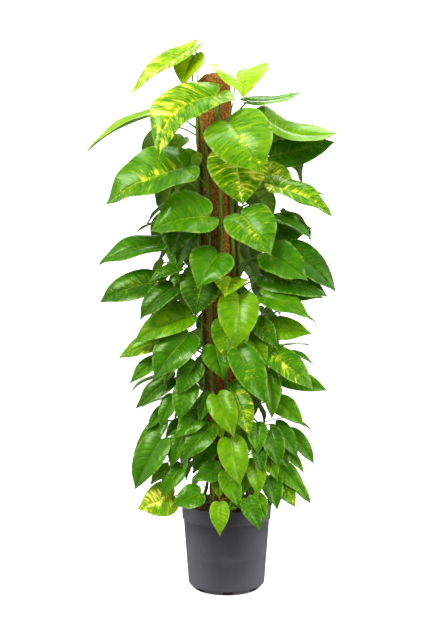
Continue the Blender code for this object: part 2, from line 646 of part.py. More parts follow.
def leaves_behind(blade: Blade, stalk: list[Vector]) -> bool:
    """Whether the last stretch of a stalk runs to the back of the blade, clear of its face and lobes."""
    _, along, _, normal = blade_axes(blade)
    course = (stalk[-2] - stalk[-1]).normalized()
    rise = course.dot(normal)
    return rise < -0.2 or (rise < 0.3 and course.dot(along) < -0.3)


def solid_of(shape: bmesh.types.BMesh, vine: int) -> Solid:
    """Search tree and box of a shape, which is used up."""
    spots = [vertex.co.copy() for vertex in shape.verts]
    tree = BVHTree.FromBMesh(shape)
    shape.free()
    low = Vector(min(spot[axis] for spot in spots) for axis in range(3))
    high = Vector(max(spot[axis] for spot in spots) for axis in range(3))
    return Solid(vine, tree, low, high)


def boxes_meet(one: Solid, other: Solid) -> bool:
    """Whether the boxes of two solids overlap."""
    return all(one.low[axis] <= other.high[axis] and other.low[axis] <= one.high[axis] for axis in range(3))


def touched(solid: Solid, others: list[Solid]) -> set[int]:
    """The vines whose solids this one crosses."""
    found = set()
    for other in others:
        if other.vine in found:
            continue
        if boxes_meet(solid, other) and solid.tree.overlap(other.tree):
            found.add(other.vine)
    return found


def moved(blade: Blade, push: float, pitch: float) -> Blade:
    """The same blade pushed in or out and tipped up or down."""
    away = (blade.normal - UP * blade.normal.z).normalized()
    axis = away.cross(UP)
    shift = away * push
    turned_by = Matrix.Rotation(pitch, 3, axis)
    return blade._replace(base=blade.base + shift, tip=blade.tip + shift, normal=turned_by @ blade.normal)


def roots_for(blade: Blade, lines) -> list[tuple[int, Vector, Vector]]:
    """Places on the stems from which a leaf could grow, with the way out there, the most natural first."""
    reach = blade.base - pole_axis(blade.base.z)
    ranked = []
    for vine, line in enumerate(lines):
        for rank, drop in enumerate(PETIOLE_DROPS):
            height = min(blade.base.z - drop, line[-1].z - STEM_RADIUS_TOP)
            if height < SOIL_MIDDLE_HEIGHT + 2 * STEM_RADIUS_TOP or blade.base.z - height > LONGEST_DROP:
                continue
            root = on_line(line, height)
            away = (root - pole_axis(root.z)).normalized()
            turn = away.xy.angle(reach.xy, 0)
            if turn < WIDEST_TURN:
                ranked.append((turn + rank * RANK_TURN, vine, root, away))
    ranked.sort(key=lambda choice: choice[:2])
    return [choice[1:] for choice in ranked[:ROOT_CHOICES]]


def settle(blade: Blade, lines, fixed: list[Solid]) -> tuple[Blade, int, list[Vector]] | None:
    """Find a way to hang a blade so that neither it nor its stalk crosses anything but its own stem."""
    for push, pitch in MOVES:
        trial = moved(blade, push, math.radians(pitch))
        plate = solid_of(leaf_shape(trial, (), CLEAR), NO_VINE)
        if touched(plate, fixed):
            continue
        radius = petiole_radius(trial) * PETIOLE_TAPER[0] + CLEAR
        for vine, root, away in roots_for(trial, lines):
            stalk = petiole_line(trial, root, away)
            course = solid_of(tube(stalk, [radius] * len(stalk), PETIOLE_SIDES), NO_VINE)
            early = solid_of(tube(stalk[:-1], [radius] * len(stalk[:-1]), PETIOLE_SIDES), NO_VINE)
            crosses_own_blade = early.tree.overlap(plate.tree)
            own_stem = len(lines) + vine
            if leaves_behind(trial, stalk) and not crosses_own_blade and touched(course, fixed) <= {own_stem}:
                return trial, vine, stalk
    return None


def hang_leaves(lines, solids: list[Solid]) -> list[tuple[Blade, int, list[Vector]]]:
    """Hang every leaf in turn, each clear of what hangs already. A leaf with no room is left out."""
    listed = [listed_blade(leaf) for leaf in CROWN_LEAVES + MIDDLE_LEAVES + SKIRT_LEAVES]
    stems = [
        solid_of(tube(line, [STEM_RADIUS_TOP] * len(line), STEM_SIDES), len(lines) + vine)
        for vine, line in enumerate(lines)
    ]
    fixed = solids + stems
    hung = []
    for blade in listed + filler_blades(random.Random(SEED)):
        found = settle(blade, lines, fixed)
        if found is None:
            continue
        trial, vine, stalk = found
        hung.append(found)
        fixed.append(solid_of(leaf_shape(trial, stalk, CLEAR), vine))
    return hung


def build_vine(number: int, line: list[Vector], leaves, finish) -> None:
    """One vine: its stem with all its leaves fused on."""
    count = len(line) - 1
    radii = [blend(STEM_RADIUS_FOOT, STEM_RADIUS_TOP, index / count) for index in range(count + 1)]
    vine = object_from(f"vine_{number + 1:02d}", tube(line, radii, STEM_SIDES), finish)
    group = bpy.data.collections.new("leaves")
    for blade, _, stalk in leaves:
        part = object_from("leaf", leaf_shape(blade, stalk))
        bpy.context.scene.collection.objects.unlink(part)
        group.objects.link(part)
    bpy.context.scene.collection.children.link(group)
    combine(vine, group, "UNION")
    bpy.data.collections.remove(group)


def main() -> None:
    """Build every solid of the potted plant."""
    clear_scene()
    rng = random.Random(SEED)
    lines = [stem_line(math.radians(angle), top * CM, rng) for angle, top in VINES]
    build_pot(material("nursery pot", (0.055, 0.053, 0.065), 0.5))
    build_soil(material("potting mix", (0.045, 0.026, 0.014), 0.95), [line[0] for line in lines])
    coir = material("coir", (0.16, 0.085, 0.03), 0.95)
    pole = build_pole(coir, material("stake wood", (0.45, 0.30, 0.17), 0.8))
    solids = []
    for piece in (*pole, bpy.data.objects["pot"], bpy.data.objects["soil"]):
        shape = bmesh.new()
        shape.from_mesh(piece.data)
        solids.append(solid_of(shape, NO_VINE))
    leaves = hang_leaves(lines, solids)
    leaf_green = material("pothos leaf", (0.09, 0.24, 0.02), 0.35)
    for number, line in enumerate(lines):
        build_vine(number, line, [leaf for leaf in leaves if leaf[1] == number], leaf_green)


main()
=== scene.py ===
"""Climbing golden pothos on a coir pole, in a nursery pot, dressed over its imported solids.

Everything is in metres. The origin is the middle of the pot's underside, +Z is up and the plant's
best side faces -Y.
"""

from __future__ import annotations

import logging
import math
import random
from dataclasses import dataclass, field
from enum import Enum
from functools import partial
from typing import Callable, NamedTuple, Sequence

import bmesh
import bpy
from mathutils import Matrix, Vector, noise
from mathutils.geometry import interpolate_bezier
from mathutils.kdtree import KDTree


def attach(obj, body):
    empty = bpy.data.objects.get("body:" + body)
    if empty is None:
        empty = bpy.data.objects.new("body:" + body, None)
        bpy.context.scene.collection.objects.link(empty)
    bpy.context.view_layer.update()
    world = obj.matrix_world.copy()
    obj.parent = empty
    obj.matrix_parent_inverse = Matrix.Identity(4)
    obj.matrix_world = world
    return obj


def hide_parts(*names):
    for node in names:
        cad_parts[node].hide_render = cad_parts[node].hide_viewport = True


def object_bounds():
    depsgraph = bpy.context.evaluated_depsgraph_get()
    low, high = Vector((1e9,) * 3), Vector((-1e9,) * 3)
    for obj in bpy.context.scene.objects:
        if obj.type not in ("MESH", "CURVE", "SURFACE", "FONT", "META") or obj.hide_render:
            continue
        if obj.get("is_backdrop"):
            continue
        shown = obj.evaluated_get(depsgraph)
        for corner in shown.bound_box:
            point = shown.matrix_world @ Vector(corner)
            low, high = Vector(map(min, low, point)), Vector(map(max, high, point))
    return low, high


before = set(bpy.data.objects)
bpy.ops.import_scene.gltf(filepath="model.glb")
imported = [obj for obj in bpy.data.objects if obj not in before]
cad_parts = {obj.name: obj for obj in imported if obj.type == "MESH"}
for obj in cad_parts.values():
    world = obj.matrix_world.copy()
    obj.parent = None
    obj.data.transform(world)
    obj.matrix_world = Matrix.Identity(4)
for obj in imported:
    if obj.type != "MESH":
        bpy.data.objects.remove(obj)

LOG = logging.getLogger("potted_pothos")

CM = 0.01
UP = Vector((0, 0, 1))
SEED = 11
WELD = 1e-5
SHARP = math.radians(70)
CURVE_POINTS = 40
ROOT = "root"

BMesh = bmesh.types.BMesh
Material = bpy.types.Material
Object = bpy.types.Object
Color = tuple[float, float, float, float]
Pair = tuple[float, float]
Guides = tuple[Vector, Vector, Vector, Vector]
Radius = Callable[[float], float]
Place = Callable[[float, float], Vector]
Nature = Callable[[Vector], Vector]


def linear(level: int) -> float:
    """One channel of a display colour, 0 to 255, in linear light."""
    share = level / 255
    return share / 12.92 if share <= 0.04045 else ((share + 0.055) / 1.055) ** 2.4


def tint(red: int, green: int, blue: int) -> Color:
    """A display colour in linear light, with full alpha."""
    return (linear(red), linear(green), linear(blue), 1.0)


def blend(start: float, end: float, share: float) -> float:
    """The value this share of the way from start to end."""
    return start + (end - start) * share


def clamp(value: float, low: float = 0, high: float = 1) -> float:
    """The value, kept from low to high."""
    return min(max(value, low), high)


def bell(distance: float, width: float, height: float = 1) -> float:
    """A smooth hump, this high at no distance and about a third of that at this width."""
    return height * math.exp(-((distance / width) ** 2))


def outward(angle: float) -> Vector:
    """The level direction at this angle from the front towards +X."""
    return Vector((math.sin(angle), -math.cos(angle), 0))


def swung(first: Vector, second: Vector, turn: float) -> Vector:
    """The direction this angle round from the first of two square directions to the second."""
    return first * math.cos(turn) + second * math.sin(turn)


def squared(vector: Vector, along: Vector) -> Vector:
    """The direction of a vector without its part along another direction."""
    return (vector - along * vector.dot(along)).normalized()


# Shader arithmetic


def operation(kind: str) -> Callable[..., Wire]:
    """The method that puts a wire, and any values after it, through one kind of Math node."""
    def method(wire: Wire, *values: Wire | float) -> Wire:
        """Add the node."""
        return wire.math(kind, wire, *values)

    return method


class Wire:
    """One output socket of a material. Arithmetic on it adds Math nodes."""

    def __init__(self, shader: Shader, socket: bpy.types.NodeSocket) -> None:
        """Keep the socket with the shader that it belongs to."""
        self.shader = shader
        self.socket = socket

    def math(self, kind: str, *values: Wire | float) -> Wire:
        """The result of one Math node with these values in its sockets."""
        return self.shader.node("ShaderNodeMath", {"operation": kind}, dict(enumerate(values)))

    __add__ = __radd__ = operation("ADD")
    __sub__ = operation("SUBTRACT")
    __mul__ = __rmul__ = operation("MULTIPLY")
    __pow__ = operation("POWER")
    __abs__ = operation("ABSOLUTE")
    fraction = operation("FRACT")
    above = operation("GREATER_THAN")
    larger = operation("MAXIMUM")

    def __rsub__(self, other: float) -> Wire:
        """A number less this."""
        return self.math("SUBTRACT", other, self)

    def step(self, start: Wire | float, end: Wire | float, low: float = 0, high: float = 1) -> Wire:
        """A smooth step from low, before the start, to high, past the end."""
        sockets = {"Value": self, "From Min": start, "From Max": end, "To Min": low, "To Max": high}
        return self.shader.node("ShaderNodeMapRange", {"interpolation_type": "SMOOTHSTEP"}, sockets)


class Shader:
    """The nodes of a material round one Principled shader, or of the studio's light."""

    def __init__(self, owner: Material | bpy.types.World) -> None:
        """Start with the nodes that the owner has."""
        owner.use_nodes = True
        self.owner, self.tree = owner, owner.node_tree

    @classmethod
    def new(cls, name: str) -> Shader:
        """The shader of a new material."""
        return cls(bpy.data.materials.new(name))

    def node(
        self,
        kind: str,
        settings: dict[str, object] | None = None,
        sockets: dict[str | int, object] | None = None,
        output: str | int = 0,
    ) -> Wire:
        """Add any node.

        Args:
            kind: the node's type.
            settings: its properties; "stops" fills a colour ramp.
            sockets: values or wires for its inputs, by name or number.
            output: which output to return.

        Returns:
            That output.
        """
        made = self.tree.nodes.new(kind)
        for name, value in (settings or {}).items():
            if name == "stops":
                ramp = made.color_ramp
                while len(ramp.elements) < len(value):
                    ramp.elements.new(1)
                for element, (position, color) in zip(ramp.elements, value):
                    element.position = position
                    element.color = color
            else:
                setattr(made, name, value)
        for key, value in (sockets or {}).items():
            self.feed(made.inputs[key], value)
        return Wire(self, made.outputs[output])

    def feed(self, socket: bpy.types.NodeSocket, value: object) -> None:
        """Fill one input.

        Args:
            socket: the input.
            value: a wire, which is linked to it, or a plain value.
        """
        if isinstance(value, Wire):
            self.tree.links.new(value.socket, socket)
        else:
            socket.default_value = value

    def mix(self, share: Wire | float, first: Wire | Color, second: Wire | Color) -> Wire:
        """Two colours mixed, with this share of the second."""
        return self.node("ShaderNodeMix", {"data_type": "RGBA"}, {0: share, 6: first, 7: second}, 2)

    def ramp(self, share: Wire, *stops: tuple[float, Color]) -> Wire:
        """The colour at this share of a ramp."""
        return self.node("ShaderNodeValToRGB", {"stops": stops}, {0: share})

    def parts(self, vector: Wire) -> tuple[Wire, Wire, Wire]:
        """The three parts of a vector."""
        split = self.node("ShaderNodeSeparateXYZ", None, {0: vector})
        return tuple(Wire(self, split.socket.node.outputs[axis]) for axis in range(3))

    def joined(self, x: Wire | float, y: Wire | float, z: Wire | float) -> Wire:
        """A vector of three parts."""
        return self.node("ShaderNodeCombineXYZ", None, {0: x, 1: y, 2: z})

    def mapped(self) -> tuple[Wire, Wire, Wire]:
        """How far across and along its own map a blade or a tube is, each 0 to 1."""
        return self.parts(self.node("ShaderNodeUVMap", {"uv_map": "blade"}))

    def attribute(self, name: str) -> tuple[Wire, Wire, Wire]:
        """The three numbers that the piece carries under this name."""
        return self.parts(self.node("ShaderNodeAttribute", {"attribute_name": name}, None, "Vector"))

    def place(self, size: tuple[float, float, float] = (1, 1, 1)) -> Wire:
        """The place on the object in metres, scaled by size."""
        spot = self.node("ShaderNodeTexCoord", None, None, "Object")
        return self.node("ShaderNodeMapping", None, {"Vector": spot, "Scale": size})

    def noise(self, vector: Wire, scale: float, detail: float = 2, roughness: float = 0.5) -> Wire:
        """Smooth noise from 0 to 1, with this many lumps to the unit and finer layers in it."""
        sockets = {"Vector": vector, "Scale": scale, "Detail": detail, "Roughness": roughness}
        return self.node("ShaderNodeTexNoise", None, sockets)

    def bump(self, height: Wire, distance: float) -> Wire:
        """A bumped normal from a height of 0 to 1, that many metres deep."""
        return self.node("ShaderNodeBump", None, {"Height": height, "Distance": distance, "Strength": 1})

    def dress(self, **sockets: object) -> Material:
        """Feed the Principled shader and give the finished material.

        Args:
            sockets: its inputs, with _ for spaces.

        Returns:
            The material.
        """
        surface = self.tree.nodes["Principled BSDF"]
        for name, value in sockets.items():
            self.feed(surface.inputs[name.replace("_", " ")], value)
        return self.owner


# Finishes


@dataclass(frozen=True)
class LeafFinish:
    """Waxy golden-pothos leaf: green with yellow marbling that runs along the side veins."""

    deep: Color = tint(18, 62, 0)
    middle: Color = tint(56, 116, 0)
    bright: Color = tint(122, 168, 0)
    lime: Color = tint(172, 194, 12)
    yellow: Color = tint(222, 220, 74)
    cream: Color = tint(242, 240, 160)
    rib: Color = tint(176, 204, 40)
    underside_and_sheen: Color = tint(142, 178, 72)
    sheen: Color = (0.55, 1.0, 0.10, 1.0)
    gloss: float = 0.34
    wax: float = 0.18
    wax_roughness: float = 0.17
    veins: float = 12
    vein_offset: float = 0.37
    rise: float = 1.4
    pores: float = 900
    relief: float = 0.0012

    def material(self) -> Material:
        """Build the material, which reads the blade's own map and attributes.

        Returns:
            The material.
        """
        shader = Shader.new("pothos_leaf")
        across, along, _ = shader.mapped()
        tone, marbling, seed = shader.attribute("leaf")
        under, _, _ = shader.attribute("face")

        # The ribs: out is nought on the midrib and one on the margin
        side = across * 2 - 1
        out = abs(side) ** self.rise
        half = side.above(0)
        drift = shader.noise(shader.joined(side * 1.5, along * 5, seed * 9), 1, 1)
        vein = along * self.veins + half * self.vein_offset + seed + drift * 0.5
        near = abs(vein.fraction() - 0.5)
        line = near.step(0.02, 0.09, 1, 0) * out.step(0.4, 0.95, 1, 0)
        rib = out.step(0.008, 0.028, 1, 0)
        rim = out.step(0.965, 0.995)

        # Yellow streaks and flecks, in clusters, with a soft edge round them
        stripe = shader.noise(shader.joined(out * 1.1 + half * 5, vein * 2.6, seed * 13), 1, 3, 0.6)
        cluster = shader.noise(shader.joined(side * 1.3, along * 2.6, seed * 17), 1, 1)
        level = stripe - (0.84 - marbling * 0.30) + (cluster - 0.5) * 0.55 - out * 0.08
        fleck = shader.noise(shader.joined(out * 4 + half * 7, vein * 6.5, seed * 29), 1, 2, 0.55)
        speck = fleck - (0.75 - marbling * 0.12) + (cluster - 0.5) * 0.25 - out * 0.05
        gold = level.step(0.0, 0.08).larger(speck.step(0, 0.05) * 0.75)
        halo = level.step(-0.12, 0.02).larger(speck.step(-0.09, 0) * 0.6)

        # The greens under them, mottled and streaked along the veins
        mottle = shader.noise(shader.joined(out * 1.6 + half * 3, vein * 0.9, seed * 5), 1, 3, 0.6)
        streak = shader.noise(shader.joined(out * 2.4 + half * 9, vein * 5, seed * 23), 1, 3, 0.6)
        shade = tone + (mottle - 0.5) * 0.45 + (streak - 0.5) * (0.06 + marbling * 0.8) + near * 0.05
        greens = (0.12, self.deep), (0.42, self.middle), (0.74, self.bright), (1, self.lime)
        green = shader.ramp(shade, *greens)
        warmth = gold * (0.45 + tone * 0.3) + (mottle - 0.5) * 0.6 + (streak - 0.5) * 0.5
        flush = shader.ramp(warmth, (0.2, self.lime), (0.55, self.yellow), (1, self.cream))
        face = shader.mix(halo * 0.5, green, self.lime)
        face = shader.mix(gold, face, flush)
        face = shader.mix((line * 0.05).larger(rim * 0.18), face, self.rib)
        face = shader.mix(rib * (0.16 + marbling * 0.35), face, self.rib)
        # The lower skin is paler: partly the leaf's own paler underside, partly a painted sheen.
        color = shader.mix(under * 0.65, face, self.underside_and_sheen)

        # Sunken ribs above, which stand out below
        cell = shader.noise(shader.place(), self.pores)
        relief = near * 0.85 * out.step(0, 0.2) - line * 0.2 - rib * 0.5 + mottle * 0.25
        height = relief * (1 - under * 1.8) + cell * 0.05
        return shader.dress(
            Base_Color=color, Roughness=0.29 + mottle * 0.10 + under * 0.24 + gold * 0.04,
            Normal=shader.bump(height, self.relief), Specular_IOR_Level=self.gloss,
            Specular_Tint=self.sheen, Coat_Weight=self.wax, Coat_Roughness=self.wax_roughness,
        )


@dataclass(frozen=True)
class StemFinish:
    """Smooth green stems and leaf stalks, paler at the joints, with brown scars."""

    dark: Color = tint(62, 100, 2)
    light: Color = tint(134, 164, 22)
    scar: Color = tint(116, 90, 24)
    gloss: float = 0.25
    speckles: float = 420
    relief: float = 0.0006

    def material(self) -> Material:
        """Build the material, which reads the map along the stem.

        Returns:
            The material.
        """
        shader = Shader.new("pothos_stem")
        around, along, _ = shader.mapped()
        tone, scar, seed = shader.attribute("leaf")
        streak = shader.noise(shader.joined(around * 9, along * 3, seed * 3), 1, 3, 0.6)
        speckle = shader.noise(shader.place(), self.speckles)
        green = shader.mix((streak * 0.8 + tone - 0.4).step(0.2, 0.9), self.dark, self.light)
        return shader.dress(
            Base_Color=shader.mix(scar * speckle.step(0.35, 0.6), green, self.scar),
            Roughness=0.42 + scar * 0.3, Specular_IOR_Level=self.gloss,
            Normal=shader.bump(streak * 0.6 + speckle * 0.2, self.relief),
        )


@dataclass(frozen=True)
class CoirFinish:
    """Matted coconut fibre."""

    dark: Color = tint(48, 26, 6)
    middle: Color = tint(142, 88, 30)
    light: Color = tint(214, 152, 76)
    roughness: float = 0.92
    gloss: float = 0.15
    upright: float = 620
    level: float = 560
    lumps: float = 150
    relief: float = 0.006

    def material(self, name: str, lift: float) -> Material:
        """Build the material.

        Args:
            name: the material's name.
            lift: how much paler than the mat it is.

        Returns:
            The material.
        """
        shader = Shader.new(name)
        fibre = shader.noise(shader.place((1, 1, 0.3)), self.upright, 4, 0.7)
        cross = shader.noise(shader.place((0.3, 0.3, 1)), self.level, 4, 0.7)
        lump = shader.noise(shader.place(), self.lumps, 3, 0.6)
        mat = fibre * 0.35 + cross * 0.3 + lump * 0.35 + lift
        return shader.dress(
            Base_Color=shader.ramp(mat, (0.36, self.dark), (0.49, self.middle), (0.62, self.light)),
            Roughness=self.roughness, Normal=shader.bump(mat, self.relief), Specular_IOR_Level=self.gloss,
        )


@dataclass(frozen=True)
class SoilFinish:
    """Dark peat with paler bark and fibre bits."""

    dark: Color = tint(36, 20, 10)
    middle: Color = tint(84, 50, 24)
    light: Color = tint(148, 100, 56)
    roughness: float = 0.95
    crumbs: float = 260
    bits: float = 190
    relief: float = 0.004

    def material(self) -> Material:
        """Build the material.

        Returns:
            The material.
        """
        shader = Shader.new("potting_mix")
        crumb = shader.noise(shader.place(), self.crumbs, 4, 0.65)
        sockets = {"Vector": shader.place(), "Scale": self.bits}
        bit, _, _ = shader.parts(shader.node("ShaderNodeTexVoronoi", None, sockets, "Color"))
        shade = crumb * 0.65 + bit * 0.3
        return shader.dress(
            Base_Color=shader.ramp(shade, (0.3, self.dark), (0.58, self.middle), (0.85, self.light)),
            Roughness=self.roughness, Normal=shader.bump(crumb, self.relief),
        )


@dataclass(frozen=True)
class PlasticFinish:
    """Thin charcoal nursery-pot plastic with a satin face, a little scuffed and dusty, and painted paler
    towards the foot as a painted reflection of the white floor.
    """

    body: Color = tint(57, 56, 64)
    pale_wear_dust_and_reflection: Color = tint(100, 99, 107)
    gloss: float = 0.45
    grain: float = 2600
    clouds: float = 16
    scuffs: float = 240
    floor_reflection_height: float = 0.11
    relief: float = 0.0006

    def material(self) -> Material:
        """Build the material.

        Returns:
            The material.
        """
        shader = Shader.new("pot_plastic")
        _, _, up = shader.parts(shader.place())
        grain = shader.noise(shader.place(), self.grain)
        cloud = shader.noise(shader.place(), self.clouds, 3, 0.55)
        scuff = shader.noise(shader.place((1, 1, 0.12)), self.scuffs, 3, 0.6)
        # Painted reflection: the plastic is painted paler over the bottom 11 cm, standing in for the white
        # floor's reflection; the cloudy patches are dust.
        dust_and_floor_reflection = cloud.step(0.45, 0.75) * 0.35 + up.step(0.0, self.floor_reflection_height, 0.75, 0)
        wear = scuff.step(0.60, 0.74) * 0.25
        return shader.dress(
            Base_Color=shader.mix((dust_and_floor_reflection + wear) * 0.45, self.body, self.pale_wear_dust_and_reflection),
            Roughness=0.30 + cloud * 0.12 + dust_and_floor_reflection * 0.15, Specular_IOR_Level=self.gloss,
            Normal=shader.bump(grain * 0.25 + cloud * 0.2 + scuff * 0.15, self.relief),
        )


@dataclass(frozen=True)
class WoodFinish:
    """Rough-sawn softwood of the stake."""

    early: Color = tint(196, 158, 108)
    late: Color = tint(142, 98, 54)
    roughness: float = 0.75
    grain: float = 320
    rings: float = 60
    relief: float = 0.0012

    def material(self) -> Material:
        """Build the material.

        Returns:
            The material.
        """
        shader = Shader.new("stake_wood")
        grain = shader.noise(shader.place((1, 1, 0.06)), self.grain, 4, 0.6)
        ring = (shader.noise(shader.place((1, 1, 0.02)), self.rings) * 9).fraction()
        return shader.dress(
            Base_Color=shader.mix(grain * 0.6 + ring * 0.4, self.early, self.late),
            Roughness=self.roughness, Normal=shader.bump(grain, self.relief),
        )


@dataclass(frozen=True)
class FloorFinish:
    """Matt white studio floor."""

    paint: Color = tint(246, 246, 246)
    shade: Color = tint(232, 232, 232)
    roughness: float = 0.7
    glow: float = 0.66

    def material(self) -> Material:
        """Build the material.

        Returns:
            The material.
        """
        shader = Shader.new("studio_floor")
        return shader.dress(
            Base_Color=shader.mix(shader.noise(shader.place(), 3) * 0.04, self.paint, self.shade),
            Roughness=self.roughness, Emission_Color=self.paint, Emission_Strength=self.glow,
        )


# Shaping


def mesh_of(shape: BMesh, name: str) -> bpy.types.Mesh:
    """Turn a shape into a mesh, and let go of the shape.

    Args:
        shape: the shape.
        name: the mesh's name.

    Returns:
        The mesh.
    """
    mesh = bpy.data.meshes.new(name)
    shape.to_mesh(mesh)
    shape.free()
    return mesh


def placed(name: str, data: bpy.types.ID) -> Object:
    """Put an object into the scene.

    Args:
        name: its name.
        data: its mesh, light or camera.

    Returns:
        The object.
    """
    made = bpy.data.objects.new(name, data)
    bpy.context.scene.collection.objects.link(made)
    return made


class Draft:
    """A piece's mesh in the making, with the map and the attributes that its materials read."""

    def __init__(self) -> None:
        """Start an empty mesh."""
        self.shape: BMesh = bmesh.new()
        self.shape.loops.layers.uv.new("blade")
        self.nature = self.shape.verts.layers.float_vector.new("leaf")
        self.face = self.shape.verts.layers.float_vector.new("face")

    def cloth(self, columns: int, rows: int, place: Place, nature: Nature, under: float = 0) -> None:
        """Lay a grid over a surface.

        Args:
            columns: faces across.
            rows: faces along.
            place: where the point this far across and along, each 0 to 1, lies.
            nature: the leaf attribute at a point.
            under: 1 for a lower skin.
        """
        made = bmesh.ops.create_grid(self.shape, x_segments=columns, y_segments=rows, size=1, calc_uvs=True)
        for vertex in made["verts"]:
            vertex.co = place((vertex.co.x + 1) / 2, (vertex.co.y + 1) / 2)
            vertex[self.nature] = nature(vertex.co)
            vertex[self.face] = Vector((under, 0, 0))

    def close(self, slot: int, sharp: float = SHARP) -> None:
        """Weld what meets, fill open ends, turn the faces outwards and give them a material.

        Args:
            slot: the material's number.
            sharp: the angle from which an edge shows.
        """
        shape = self.shape
        bmesh.ops.remove_doubles(shape, verts=shape.verts, dist=WELD)
        rims = [edge for edge in shape.edges if edge.is_boundary]
        if rims:
            bmesh.ops.holes_fill(shape, edges=rims, sides=0)
        bmesh.ops.recalc_face_normals(shape, faces=shape.faces)
        for face in shape.faces:
            face.material_index = slot
            face.smooth = True
        for edge in shape.edges:
            edge.smooth = edge.calc_face_angle(math.pi) < sharp

    def take(self, form: Draft) -> None:
        """Add a finished form to this mesh.

        Args:
            form: the form, which is used up.
        """
        mesh = mesh_of(form.shape, "form")
        self.shape.from_mesh(mesh)
        bpy.data.meshes.remove(mesh)

    def tube(self, line: Sequence[Vector], radius: Radius, sides: int, slot: int, nature: Nature) -> None:
        """Sweep a round, closed tube along a line.

        Args:
            line: its middle line.
            radius: its radius this share of the way along.
            sides: faces around it.
            slot: its material's number.
            nature: the leaf attribute at a point.
        """
        frames, side, last = [], Vector((1, 0, 0)), len(line) - 1
        for index, spot in enumerate(line):
            along = (line[min(index + 1, last)] - line[max(index - 1, 0)]).normalized()
            if abs(side.dot(along)) > 0.9:
                side = Vector((0, 1, 0))
            side = squared(side, along)
            frames.append((spot, side, along.cross(side)))

        def place(around: float, along: float) -> Vector:
            """A point of the tube's skin."""
            spot, first, second = frames[round(along * last)]
            return spot + swung(first, second, math.tau * around) * radius(along)

        form = Draft()
        form.cloth(sides, last, place, nature)
        form.close(slot)
        self.take(form)

    def lump(self, place: Matrix, rough: float, seed: float, slot: int) -> None:
        """One crumb: a small ball knocked out of round.

        Args:
            place: its place, turn and size.
            rough: how far out of round, as a share of its radius.
            seed: its number.
            slot: its material's number.
        """
        form = Draft()
        bmesh.ops.create_icosphere(form.shape, subdivisions=1, radius=1)
        for vertex in form.shape.verts:
            swell = 1 + rough * noise.noise(vertex.co * 1.6 + Vector((seed, 0, 0)))
            vertex.co = place @ (vertex.co * swell)
        form.close(slot)
        self.take(form)

    def spin(self, profile: Sequence[Pair], steps: int) -> None:
        """Spin a profile, whose ends lie on the axis, about Z.

        Args:
            profile: its points, as radius and height.
            steps: faces around.
        """
        points = [self.shape.verts.new((radius, 0, height)) for radius, height in profile]
        edges = [self.shape.edges.new(pair) for pair in zip(points, points[1:])]
        bmesh.ops.spin(
            self.shape, geom=points + edges, axis=UP, cent=Vector(), steps=steps, angle=math.tau,
            use_merge=True,
        )
        self.close(0, math.tau)

    def piece(self, name: str, materials: Sequence[Material], node: str | None = None) -> Object:
        """Finish the mesh as an object of the scene, riding on the body.

        Args:
            name: the piece's name.
            materials: its materials, in the order of their numbers.
            node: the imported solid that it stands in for, if there is one.

        Returns:
            The piece.
        """
        made = placed(name, mesh_of(self.shape, name))
        for material in materials:
            made.data.materials.append(material)
        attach(made, ROOT)
        if node:
            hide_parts(node)
        LOG.info("%s: %d faces", name, len(made.data.polygons))
        return made


def evenly(points: Sequence[Vector], count: int) -> list[Vector]:
    """Points spaced evenly by distance on the smooth curve through the given ones.

    Args:
        points: the given points.
        count: how many to return.

    Returns:
        The spaced points, the first and the last given ones among them.
    """
    ends = [points[0], *points, points[-1]]
    trail = [points[0]]
    for before, first, second, after in zip(ends, ends[1:], ends[2:], ends[3:]):
        handles = first + (second - before) / 6, second - (after - first) / 6
        trail += interpolate_bezier(first, *handles, second, CURVE_POINTS)[1:]
    lengths = [0.0]
    for first, second in zip(trail, trail[1:]):
        lengths.append(lengths[-1] + (second - first).length)
    spaced, index = [], 0
    for number in range(count):
        wanted = lengths[-1] * number / (count - 1)
        while index < len(trail) - 2 and lengths[index + 1] < wanted:
            index += 1
        share = (wanted - lengths[index]) / (lengths[index + 1] - lengths[index])
        spaced.append(trail[index].lerp(trail[index + 1], share))
    return spaced


# Leaves


class Zone(Enum):
    """Where on the plant a leaf grows: its usual tone and marbling."""

    CROWN = (0.48, 0.60)
    MIDDLE = (0.36, 0.22)
    SKIRT = (0.40, 0.15)
    SIDE = (0.36, 0.20)


class Leaf(NamedTuple):
    """One leaf as it hangs, in cm and degrees.

    x, z: where the petiole joins the blade, across the front and above the floor; tip_x, tip_z: the tip;
    width: across the blade; out: how far in front of the pot's axis the joint is, and lean: how much
    further out the tip is; face: how far the upper side is turned up from facing straight out;
    fold: the V of the two halves; bend and arch: how far the midrib curves sideways and up, in blade
    lengths.
    """

    x: float
    z: float
    tip_x: float
    tip_z: float
    width: float
    out: float
    lean: float
    face: float
    fold: float = 10
    bend: float = 0
    arch: float = 0.07


